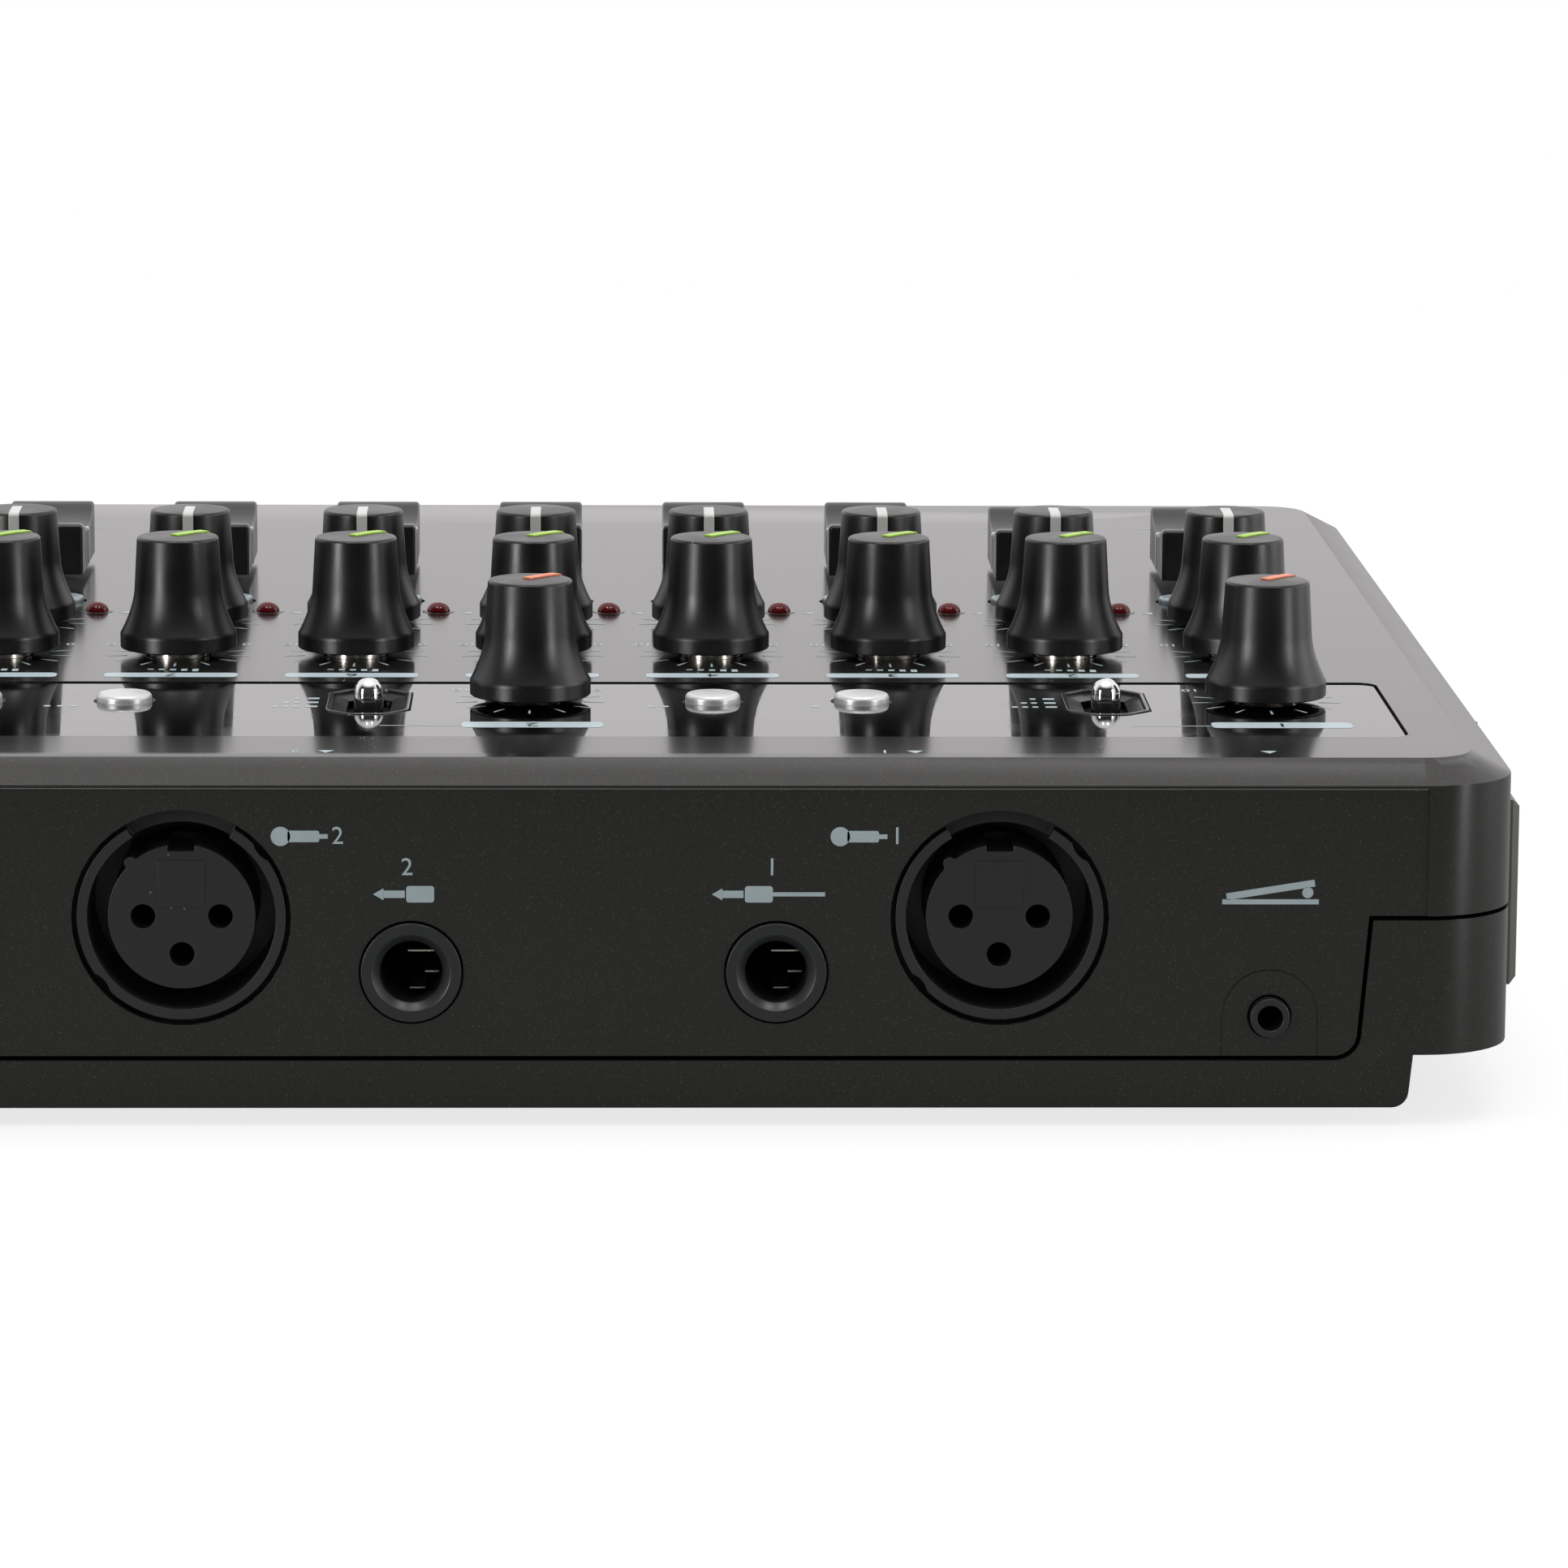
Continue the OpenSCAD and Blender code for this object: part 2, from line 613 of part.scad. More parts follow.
module bottom_case() color([0.2, 0.2, 0.2]) {
    difference() {
        union() {
            difference() {
                union() {
                    rounded_plate(body_w, body_d, corner_r, z_ledge, z_side_seam);
                    plinth(0, z_case, z_ledge + floor_t / 2);
                }
                rounded_plate(body_w - 2 * wall, body_d - 2 * wall - 2 * back_recess, corner_r - wall,
                    z_ledge + floor_t, z_side_seam + bite);
                plinth(wall + back_recess, z_floor, z_ledge + floor_t + bite);
                low_back_wall(seam, z_side_seam + bite, -bite, wall + back_recess + bite);
            }
            for (p = screw_places) upright(p, z_floor - lip, boss_r, z_boss - z_floor + lip);
            for (p = standoff_places) upright(p, z_floor - lip, screw_r + 1.6, standoff_h + lip);
        }
        for (p = screw_places) {
            upright(p, 0, screw_head_r + screw_gap, z_screw_seat);
            upright(p, 0, screw_r + screw_gap, z_boss + bite);
        }
        for (p = standoff_places) upright(p, z_floor, screw_r + run_gap, standoff_h + bite);
        for (p = foot_places) upright(p, 0, foot_r + run_gap, z_case + foot_pocket);
        card_opening();
    }
    door_ear(door_z0 - slide_gap - ear_h);
}

module input_panel() color([0.08, 0.08, 0.09])
    difference() {
        translate([0, 0, z_pocket]) linear_extrude(panel_t) panel_outline(0);
        for (p = trim_places) translate([p[0], back - p[1], z_pocket - bite])
            cylinder(r = lid_hole_r, h = panel_t + 2 * bite);
        for (k = [0, 1]) {
            at_lever(k) translate([0, 0, z_pocket - bite]) linear_extrude(panel_t + 2 * bite) lever_opening();
            for (j = [0, 1]) at_button(k, j) translate([0, 0, z_pocket - bite])
                cylinder(r = button_r + key_gap, h = panel_t + 2 * bite);
        }
        at_window() translate([0, 0, z_pocket - bite]) linear_extrude(panel_t + 2 * bite)
            rounded_rect(window_w + 2 * run_gap, window_d + 2 * run_gap, panel_r);
    }

module display_window() color([0.6, 0.68, 0.66, 0.5])
    at_window() rounded_plate(window_w, window_d, panel_r, z_pocket, z_panel);

// Display glass in its frame, under the top plate
module lcd_module() color([0.32, 0.36, 0.3]) at_window() {
    glass_h = 2;
    translate([0, 0, z_under - glass_h]) linear_extrude(glass_h) square([window_w, window_d], center = true);
    translate([0, 0, z_under - glass_h - board_t]) linear_extrude(board_t)
        square([window_w + 4, window_d + 2], center = true);
}

// Push switch body with an open plunger hole, standing on the panel board
module tact_body()
    difference() {
        translate([0, 0, z_board]) linear_extrude(tact_h) square(tact_w, center = true);
        translate([0, 0, z_board + tact_floor]) cylinder(r = tact_plunger_r + slide_gap, h = tact_h);
    }

// Lever switch body with an open slot, standing on the panel board
module lever_body()
    difference() {
        translate([0, 0, z_board]) linear_extrude(pot_h - flange_h - 2 * slide_gap)
            square([8, 4 * lever_travel + 6], center = true);
        translate([0, 0, z_board + slide_floor]) linear_extrude(pot_h)
            square([tongue_w + 2 * slide_gap, tongue_w + 2 * lever_travel + 2 * slide_gap], center = true);
    }

module panel_board() color([0.1, 0.3, 0.16]) {
    difference() {
        span([left + panel_board_in[0], front + panel_board_in[1], z_board - board_t],
            [right - panel_board_in[0], back - panel_board_in[2], z_board]);
        for (p = screw_places) upright(p, z_board - board_t - bite, post_r + 0.5, board_t + 2 * bite);
    }
    for (i = [0:tracks - 1]) at_record(i) tact_body();
    for (i = [0:menu_keys - 1]) at_menu(i) tact_body();
    for (i = [0:transport_keys - 1]) at_transport(i) tact_body();
    for (k = [0, 1]) {
        at_lever(k) lever_body();
        for (j = [0, 1]) at_button(k, j) tact_body();
    }
    at_wheel() difference() {
        translate([0, 0, z_board]) linear_extrude(pot_h) square(12, center = true);
        translate([0, 0, z_board + pot_floor]) cylinder(r = spindle_r + run_gap, h = pot_h);
    }
}

module main_board() color([0.12, 0.34, 0.2]) {
    z0 = z_main - board_t;
    difference() {
        union() {
            span([-main_w / 2, back - main_d1, z0], [main_w / 2, back - main_d0, z_main]);
            span([left + plinth_in + 3.5, back - card_d0 - card_l, z0], [0, back - card_d0, z_main]);
        }
        for (p = standoff_places) upright(p, z0 - bite, screw_r + screw_gap, board_t + 2 * bite);
    }
    // Memory card socket on its foot
    y0 = back - card_d0 - card_l + 0.5;
    y1 = back - card_d0 - 0.5;
    socket_end = left + 30;
    difference() {
        union() {
            span([left + plinth_in + 4, y0, z_main], [socket_end - 1, y1, card_z0 + 2]);
            span([left + wall + 1.2, y0, card_z0 + 1], [socket_end, y1, card_z0 + 6]);
        }
        span([left, y0 + 0.5, card_z0 + 3], [socket_end - 2, y1 - 0.5, card_z0 + 5]);
    }
    // Power switch behind its button
    difference() {
        y0 = back_face - wall - flange_h - power_press - 2 * slide_gap;
        x = right - power_button_in;
        span([x - 4.5, y0 - 10, z_main], [x + 4.5, y0, z_case + line_h + 4]);
        back_rod(x, z_case + line_h, tact_plunger_r + slide_gap, 0, wall + power_switch_d + slide_gap);
    }
    // Chips
    for (c = [[-30, 62, 20, 20, 2], [12, 70, 14, 14, 1.6], [52, 60, 24, 12, 2], [-66, 86, 10, 16, 1.6]])
        translate([c[0], back - c[1], z_main]) linear_extrude(c[4]) square([c[2], c[3]], center = true);
}

// Microphone socket: an outer ring with a latch gap, a deep round groove and an insert with three contacts
module mic_socket() {
    half_w = mic_ring_r + 1.1;
    depth = 20;
    groove_d = 12;
    sink = 0.3;
    difference() {
        union() {
            rotate([90, 0, 0]) translate([0, 0, sink]) cylinder(r = mic_ring_r, h = groove_d);
            span([-half_w, -wall - depth, z_main - z_case - mic_h],
                [half_w, -wall, z_under - z_case - mic_h - 1]);
        }
        rotate([90, 0, 0]) difference() {
            cylinder(r = mic_bore_r, h = groove_d);
            translate([0, 0, sink + 0.5]) cylinder(r = mic_insert_r, h = groove_d);
            rotate(47) translate([mic_insert_r, 0, sink + 0.5]) cylinder(r = 0.7, h = groove_d);
        }
        // Latch gap at the top of the ring
        rotate([90, 0, 0]) linear_extrude(wall) difference() {
            top = mic_ring_r + bite;
            half = top * tan(mic_latch / 2);
            polygon([[0, 0], [-half, top], [half, top]]);
            circle(mic_insert_r);
        }
        // Two round reliefs on the ring's edge
        relief_r = 2.5;
        for (a = [140, -40]) rotate([90, 0, 0]) rotate(a)
            translate([mic_ring_r + relief_r - 0.4, 0, 0]) cylinder(r = relief_r, h = wall);
        // Keyway and contact holes of the insert
        translate([-1.45, -wall - groove_d / 2, mic_insert_r - 0.8]) cube([2.9, wall + groove_d / 2, 2]);
        for (a = [0, 180, 270]) rotate([90, 0, 0]) rotate(a)
            translate([mic_pin_circle, 0, 0]) cylinder(r = mic_pin_r, h = groove_d);
    }
}

module mic_sockets() color([0.17, 0.18, 0.19])
    for (x = mic_in) translate([left + x, back_face, z_case + mic_h]) mic_socket();

// Line jack: a round nose with a sloped mouth in front of a block that stands on the main board
module line_jack() {
    out = 0.5;
    half_w = 7;
    mouth = 0.9;
    difference() {
        union() {
            inward_rod(out, line_nose_r, wall + out + lip);
            span([-half_w, -wall - line_body_d, z_main - z_case - line_h], [half_w, -wall, 7]);
        }
        inward_rod(out + bite, line_bore_r, wall + line_body_d - 2 + bite);
        translate([0, out, 0]) rotate([90, 0, 0])
            cylinder(r1 = line_bore_r + mouth, r2 = line_bore_r, h = mouth);
    }
}

module line_jacks() color([0.2, 0.21, 0.22])
    for (x = line_in) translate([left + x, back_face, z_case + line_h]) line_jack();

module remote_jack() color([0.2, 0.21, 0.22])
    translate([left + remote_in, back_face, z_case + remote_h]) difference() {
        union() {
            inward_rod(remote_out, remote_nose_r, remote_out + wall + lip);
            span([-3.6, -wall - 12, z_main - z_case - remote_h], [3.6, -wall, 3]);
        }
        inward_rod(remote_out + bite, remote_bore_r, remote_out + wall + 11 + bite);
    }

// Power button with a flange behind the back wall and a plunger in its switch
module power_button() color([0.13, 0.13, 0.13])
    translate([right - power_button_in, back_face, z_case + line_h]) rotate([90, 0, 0]) {
        translate([0, 0, -power_button_out]) cylinder(r = power_button_r, h = power_button_out + wall + lip);
        translate([0, 0, wall + slide_gap]) cylinder(r = power_button_r + 1.2, h = flange_h);
        translate([0, 0, wall]) cylinder(r = tact_plunger_r, h = power_switch_d - power_press);
    }

// Power inlet: a round mouth with a contact pin in its middle
module power_inlet() color([0.12, 0.12, 0.12])
    translate([right - power_in, back_face, z_case + line_h]) difference() {
        union() {
            rotate([90, 0, 0]) cylinder(r = power_bore_r + power_rim, h = wall + lip);
            span([-5.5, -wall - 12, z_main - z_case - line_h], [5.5, -wall, 5.5]);
        }
        translate([0, bite, 0]) rotate([90, 0, 0]) difference() {
            cylinder(r = power_bore_r, h = wall + 9 + bite);
            translate([0, 0, 2 * bite]) cylinder(r = 1, h = wall + 9);
        }
    }

// Potentiometer bodies with their bushings, on the panel board
module rotary_pots() color([0.72, 0.7, 0.66])
    for (p = pot_places) translate([p[0], back - p[1], z_board]) difference() {
        up = p[1] == input_row ? top_t - panel_sink : top_t + bushing_up;
        union() {
            linear_extrude(pot_h) square([pot_w, pot_d], center = true);
            cylinder(r = bushing_r, h = pot_h + up);
        }
        translate([0, 0, pot_floor]) cylinder(r = spindle_r + run_gap, h = pot_h + up);
    }

module slide_pots() color([0.6, 0.6, 0.58])
    for (i = [0:tracks]) at_fader(i) difference() {
        translate([0, 0, z_board]) linear_extrude(pot_h) square([fader_body_w, fader_body_l], center = true);
        translate([0, 0, z_board + slide_floor]) linear_extrude(pot_h)
            square([blade_t + 2 * slide_gap, fader_slot_l], center = true);
    }

module track_lamps() color([0.45, 0.03, 0.03])
    for (i = [0:tracks - 1]) translate([lamp_x(i), back - lamp_row, z_board]) {
        cylinder(r = lamp_r, h = pot_h + top_t);
        translate([0, 0, pot_h + top_t]) sphere(lamp_r);
    }

// Cross-head screw that points up from its seat
module screw(l) {
    cylinder(r = screw_r, h = l);
    difference() {
        translate([0, 0, -screw_head_h]) cylinder(r = screw_head_r, h = screw_head_h);
        for (a = [0, 90]) rotate(a)
            translate([-1.6, -0.35, -screw_head_h - bite]) cube([3.2, 0.7, bite + 1.1]);
    }
}

module case_screws() color([0.3, 0.3, 0.3]) {
    for (p = screw_places) translate([p[0], p[1], z_screw_seat]) screw(screw_l);
    for (p = standoff_places)
        translate([p[0], p[1], z_main]) rotate([180, 0, 0]) screw(standoff_h + board_t - 0.4);
}

module rubber_feet() color([0.07, 0.07, 0.07])
    for (p = foot_places) upright(p, 0, foot_r, foot_h + foot_pocket);

// Side outline of a knob from its bottom: skirt, hollow flare, leaning neck
function knob_side() = concat(
    [[0, 0], [knob_skirt_r, 0]],
    [for (i = [0:8]) let (u = i / 8) [
        knob_neck_r + (knob_skirt_r - 0.1 - knob_neck_r) * pow(1 - u, 1.6),
        knob_skirt_h + (knob_neck_h - knob_skirt_h) * u]],
    [[knob_top_r, knob_h - 0.4], [knob_top_r - 0.4, knob_h], [0, knob_h]]);

// Spindle with one flat side, grown by a gap
module spindle_outline(grow)
    difference() {
        circle(spindle_r + grow);
        translate([-bite - spindle_r, spindle_r - spindle_flat + grow]) square(2 * (spindle_r + bite));
    }

// Knob at a height z with its pointer turned to an angle from straight back, and the spindle it sits on
module knob(p, z, angle) translate([p[0], back - p[1], z]) rotate(angle) {
    bore_h = 9;
    difference() {
        union() {
            rotate_extrude() polygon(knob_side());
            // Raised pointer over the top and down the side
            pointer_l = knob_h - knob_neck_h + pointer_h;
            translate([0, 0, knob_neck_h]) intersection() {
                translate([-pointer_w / 2, -1, 0]) cube([pointer_w, 3 * knob_top_r, pointer_l]);
                cylinder(r1 = knob_neck_r + pointer_h / 2, r2 = knob_top_r + pointer_h / 2, h = pointer_l);
            }
        }
        translate([0, 0, -bite]) linear_extrude(bore_h + bite) spindle_outline(run_gap);
        translate([0, 0, -bite]) linear_extrude(bite + 2.4) difference() {
            circle(knob_skirt_r - 0.9);
            circle(spindle_r + 1.2);
        }
    }
    // Spindle, flat where the knob holds it and round in the bushing
    translate([0, 0, -slide_gap]) linear_extrude(bore_h + slide_gap - run_gap) spindle_outline(0);
    z_end = z_board + pot_floor + slide_gap;
    translate([0, 0, z_end - z]) cylinder(r = spindle_r, h = z - slide_gap - z_end);
}

module black_knob(p, z, angle) color([0.08, 0.08, 0.08]) knob(p, z, angle);
module trim_knob(k) black_knob(trim_places[k], z_panel + trim_gap, pointer_low);
module reverb_knob(i) black_knob([track_x(i), reverb_row], z_top + knob_gap, pointer_low);
module pan_knob(i) black_knob([track_x(i), pan_row], z_top + knob_gap, 0);
module level_knob() black_knob(level_place, z_top + knob_gap, pointer_low);

// Fader cap with a finger dip, on its flat metal blade
module fader(i) color([0.1, 0.1, 0.1]) translate([track_x(i), back - fader_d0 - fader_set[i], 0]) {
    dip_half = cap_l * 0.36;
    dip_r = (dip_half * dip_half + cap_dip * cap_dip) / (2 * cap_dip);
    z_cap = z_top + cap_gap;
    hold = 3.5;
    difference() {
        rounded_plate(cap_w, cap_l, 1.2, z_cap, z_cap + cap_h);
        translate([-cap_w, 0, z_cap + cap_h - cap_dip + dip_r]) rotate([0, 90, 0])
            cylinder(r = dip_r, h = 2 * cap_w);
        span([-(blade_t / 2 + run_gap), -(blade_l / 2 + run_gap), z_cap - bite],
            [blade_t / 2 + run_gap, blade_l / 2 + run_gap, z_cap + hold]);
    }
    span([-blade_t / 2, -blade_l / 2, z_board + slide_floor + slide_gap],
        [blade_t / 2, blade_l / 2, z_cap + hold - run_gap]);
}

// Lever on its slider, with a tongue in the switch below
module input_lever(k) color([0.7, 0.7, 0.7]) at_lever(k) {
    z_slider = z_under - slide_gap - flange_h;
    translate([0, 0, z_slider]) {
        linear_extrude(flange_h) square([2 * lever_r + 3, 4 * lever_travel + 2 * lever_r], center = true);
        cylinder(r = lever_r, h = z_panel + lever_up - lever_r - z_slider);
        translate([0, 0, z_panel + lever_up - lever_r - z_slider]) sphere(lever_r);
        z_tongue = z_board + slide_floor + 2 * slide_gap;
        translate([-tongue_w / 2, -tongue_w / 2, z_tongue - z_slider])
            cube([tongue_w, tongue_w, z_slider - z_tongue + lip / 2]);
    }
}

// Flange under the top plate and plunger in the push switch, shared by buttons and keys
module key_base(w, d) {
    z0 = z_under - slide_gap - flange_h;
    translate([0, 0, z0]) linear_extrude(flange_h) square([w, d], center = true);
    plunger_z = z_board + tact_floor + press + slide_gap;
    translate([0, 0, plunger_z]) cylinder(r = tact_plunger_r, h = z0 - plunger_z + lip / 2);
}

module round_button(k, j) color([0.72, 0.74, 0.76]) at_button(k, j) {
    z0 = z_under - slide_gap - flange_h;
    edge = 0.4;
    key_base(2 * button_r + 2, 2 * button_r + 2);
    translate([0, 0, z0]) cylinder(r = button_r, h = z_panel + button_up - edge - z0);
    translate([0, 0, z_panel + button_up - edge]) cylinder(r1 = button_r, r2 = button_r - edge, h = edge);
}

// Pill keys on one strip under the top plate
module pill_keys(count, pitch) {
    z0 = z_under - slide_gap - flange_h;
    for (i = [0:count - 1]) translate([(i - (count - 1) / 2) * pitch, 0, 0]) {
        key_base(record_key_w + 2, record_key_d + 1.6);
        translate([0, 0, z0]) linear_extrude(z_top + key_up - z0) pill(record_key_w, record_key_d);
    }
    translate([0, 0, z0]) linear_extrude(flange_h)
        square([(count - 1) * pitch, record_key_d - 1], center = true);
}

module record_key_strip() color([0.72, 0.76, 0.8])
    translate([(track_x(0) + track_x(tracks - 1)) / 2, back - record_row, 0]) pill_keys(tracks, track_pitch);

module menu_key_strip() color([0.72, 0.76, 0.8])
    translate([control_x, back - menu_row, 0]) pill_keys(menu_keys, menu_pitch);

module transport_key(i) color([0.3, 0.3, 0.31]) at_transport(i) {
    z0 = z_under - slide_gap - flange_h;
    key_base(transport_w + 1.8, transport_d + 3);
    rounded_plate(transport_w, transport_d, transport_r, z0, z_top + transport_up);
}

// Wheel with a finger dimple, on its spindle
module data_wheel() color([0.14, 0.14, 0.14]) at_wheel() {
    z0 = z_top + wheel_gap;
    edge = 0.8;
    difference() {
        union() {
            translate([0, 0, z0]) cylinder(r = wheel_r, h = wheel_h - edge);
            translate([0, 0, z0 + wheel_h - edge]) cylinder(r1 = wheel_r, r2 = wheel_r - edge, h = edge);
            translate([0, 0, z_board + pot_floor + slide_gap]) cylinder(r = spindle_r, h = z0 - z_board);
        }
        translate([0, 0.62 * wheel_r, z0 + wheel_h + 5.5]) sphere(7.5);
    }
}

// Side door with sloped edges, an inner tongue and a pin that turns in the two ears
module card_door() color([0.45, 0.44, 0.41]) {
    y0 = hinge_y;
    y1 = back - door_d0;
    hinge = [hinge_x, hinge_y];
    upright(hinge, door_z0 - slide_gap - ear_h, pin_r, door_h + 2 * (slide_gap + ear_h));
    upright(hinge, door_z0, door_t / 2, door_h);
    // Plate: a flat back half and an outer face with its three free edges sloped
    x_in = left - door_gap;
    x_out = x_in - door_t;
    intersection() {
        translate([0, 0, door_z0]) linear_extrude(door_h)
            polygon([[x_in, y0], [x_in, y1], [x_out + door_edge, y1], [x_out, y1 - door_edge], [x_out, y0]]);
        translate([0, y1, 0]) rotate([90, 0, 0]) linear_extrude(y1 - y0)
            polygon([[x_in, door_z0], [x_in, door_z0 + door_h], [x_out + door_edge, door_z0 + door_h],
                [x_out, door_z0 + door_h - door_edge], [x_out, door_z0 + door_edge],
                [x_out + door_edge, door_z0]]);
    }
    tongue = 0.6;
    span([x_in - door_t / 2, back - card_d0 - card_l + tongue, card_z0 + tongue],
        [left + wall / 2, back - card_d0 - tongue, card_z0 + card_h - tongue]);
}

top_case();
bottom_case();
input_panel();
display_window();
lcd_module();
panel_board();
main_board();
mic_sockets();
line_jacks();
remote_jack();
power_inlet();
power_button();
rotary_pots();
slide_pots();
track_lamps();
case_screws();
rubber_feet();
trim_knob(0);  // trim_knob_a
trim_knob(1);  // trim_knob_b
for (i = [0:tracks - 1]) {
    reverb_knob(i);
    pan_knob(i);
    fader(i);
}
level_knob();
fader(tracks);  // master_fader
input_lever(0);  // input_lever_a
input_lever(1);  // input_lever_b
for (k = [0, 1], j = [0, 1])
    round_button(k, j);
record_key_strip();
menu_key_strip();
for (i = [0:transport_keys - 1])
    transport_key(i);
data_wheel();
card_door();
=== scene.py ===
"""Finish of a desktop digital multitrack recorder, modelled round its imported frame."""

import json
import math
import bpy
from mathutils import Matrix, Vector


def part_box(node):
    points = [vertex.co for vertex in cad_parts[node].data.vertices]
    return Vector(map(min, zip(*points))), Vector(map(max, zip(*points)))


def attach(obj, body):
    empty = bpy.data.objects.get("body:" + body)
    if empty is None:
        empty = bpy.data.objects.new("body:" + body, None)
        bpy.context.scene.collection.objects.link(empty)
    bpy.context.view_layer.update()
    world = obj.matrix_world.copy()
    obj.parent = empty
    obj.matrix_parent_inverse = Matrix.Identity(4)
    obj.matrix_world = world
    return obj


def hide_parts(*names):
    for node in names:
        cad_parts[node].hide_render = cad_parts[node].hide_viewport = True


bl_info = {
    "name": "Desktop Multitrack Recorder",
    "version": (1, 0, 0),
    "blender": (4, 5, 0),
    "location": "View3D > Sidebar > Recorder",
    "description": "Builds the finish of a desktop multitrack recorder round its packed frame",
    "category": "Add Mesh",
}

import bmesh
import bpy
from bpy.props import FloatProperty, FloatVectorProperty, IntProperty, PointerProperty
from mathutils import Quaternion, Vector

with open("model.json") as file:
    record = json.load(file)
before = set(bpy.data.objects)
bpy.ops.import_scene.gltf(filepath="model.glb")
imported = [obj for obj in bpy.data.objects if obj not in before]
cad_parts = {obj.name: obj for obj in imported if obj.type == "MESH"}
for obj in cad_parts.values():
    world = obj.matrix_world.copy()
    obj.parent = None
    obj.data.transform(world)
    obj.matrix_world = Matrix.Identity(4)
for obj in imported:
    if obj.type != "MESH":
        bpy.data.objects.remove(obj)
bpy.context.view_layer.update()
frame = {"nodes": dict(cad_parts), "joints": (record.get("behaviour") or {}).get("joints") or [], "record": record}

MM = 0.001
IMAGE_SIDE = 1932
SENSOR = 36.0

nodes = frame["nodes"]
TRACKS = 8

# Levels and faces that the pieces sit on, read from the frame
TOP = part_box("top_case")[1].z
PANEL_RAISE = 0.25 * MM
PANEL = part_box("input_panel")[1].z + PANEL_RAISE
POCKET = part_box("input_panel")[0].z
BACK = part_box("top_case")[1].y
BACK_RECESS = 0.3 * MM
BACK_FACE = BACK - BACK_RECESS
CASE_W = 2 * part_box("top_case")[1].x


def joint_place(body):
    """Place [x, y] of the axis that a body turns about."""
    found = next(j for j in frame["joints"] if j["child"] == body)
    return Vector(found["pos_m"][:2])


def middle(node):
    """Middle of a node's box."""
    low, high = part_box(node)
    return (low + high) / 2


# Places of the sockets, levers and lamps
MOUNTS = {mount["name"]: mount["pos_m"] for mount in frame["record"]["mounts"]}
LINE_JACKS = [MOUNTS[name] for name in ("line_jack_a", "line_jack_b", "send_jack", "monitor_jack")]
MIC_SOCKETS = [MOUNTS["mic_socket_a"], MOUNTS["mic_socket_b"]]
LEVERS = {node: middle(node).xy for node in ("input_lever_a", "input_lever_b")}
LAMP_FROM_PAN = Vector((-8.75 * MM, -9.0 * MM))
LAMPS = [joint_place(f"pan_knob_{i + 1}") + LAMP_FROM_PAN for i in range(TRACKS)]


# Settings that a user would change


def length(label, text, value):
    """A size in metres, written in millimetres."""
    return FloatProperty(name=label, description=text, default=value * MM, unit="LENGTH", precision=5)


def tint(label, text, value):
    """A linear colour."""
    return FloatVectorProperty(
        name=label, description=text, default=(*value, 1.0), size=4, min=0.0, max=1.0, subtype="COLOR"
    )


def amount(label, text, value, unit="NONE"):
    """A number with its unit."""
    return FloatProperty(name=label, description=text, default=value, unit=unit)


class RecorderCase(bpy.types.PropertyGroup):
    """Sizes and colours of the case, the glossy panel and the prints."""

    edge: length("Edge", "Rounding of the case edges", 0.22)
    small_edge: length("Small edge", "Rounding of the socket and key edges", 0.12)
    print_lift: length("Print lift", "Thickness of the printed ink", 0.025)
    paint: tint("Paint", "Charcoal paint of the case", (0.0146, 0.0144, 0.0118))
    plate: tint("Plate", "Polished charcoal of the top plate", (0.0135, 0.0135, 0.0128))
    fleck: tint("Fleck", "Fine metal fleck in the paint", (0.130, 0.125, 0.105))
    panel: tint("Panel", "Glossy acrylic panel", (0.0014, 0.0014, 0.0015))
    # Painted highlight: the pale warm colour stands for light caught by the cut edge
    panel_edge_highlight: tint("Panel edge", "Cut edge of the acrylic", (0.34, 0.32, 0.25))
    ink: tint("Ink", "Pale printed ink", (0.50, 0.60, 0.635))
    dark_ink: tint("Dark ink", "Dark numerals on the pale bars", (0.012, 0.013, 0.014))
    socket: tint("Socket", "Moulded black of the sockets", (0.0215, 0.0216, 0.0218))
    door: tint("Door", "Warm grey of the side door", (0.150, 0.142, 0.124))


class RecorderKnobs(bpy.types.PropertyGroup):
    """Sizes and colours of the knobs, faders, levers and keys."""

    skirt_r: length("Skirt radius", "Radius at the foot of a knob", 6.80)
    skirt_h: length("Skirt height", "Height of the upright skirt", 1.7)
    neck_r: length("Neck radius", "Radius where the flare ends", 5.09)
    neck_h: length("Neck height", "Height where the flare ends", 7.0)
    top_r: length("Top radius", "Radius at the top of a knob", 4.76)
    height: length("Height", "Height of a knob", 13.05)
    rounding: length("Top rounding", "Rounding of the top rim", 0.36)
    pointer_w: length("Pointer width", "Width of the raised pointer", 1.25)
    pointer_t: length("Pointer height", "Height of the raised pointer", 0.18)
    sides: IntProperty(name="Sides", description="Sides of a round piece", default=72, min=24)
    black: tint("Knob black", "Satin black of the knobs", (0.0044, 0.0043, 0.0040))
    fader: tint("Fader black", "Satin black of the fader caps", (0.011, 0.011, 0.011))
    pan: tint("Pan pointer", "White pointer of the pan knobs", (0.72, 0.72, 0.69))
    reverb: tint("Reverb pointer", "Lime pointer of the reverb knobs", (0.40, 0.70, 0.035))
    trim: tint("Trim pointer", "Orange pointer of the trim knobs", (0.90, 0.22, 0.075))
    silver: tint("Silver", "Silver paint of the keys", (0.72, 0.73, 0.74))
    lens: tint("Lamp lens", "Red lens of the track lamps", (0.13, 0.004, 0.006))


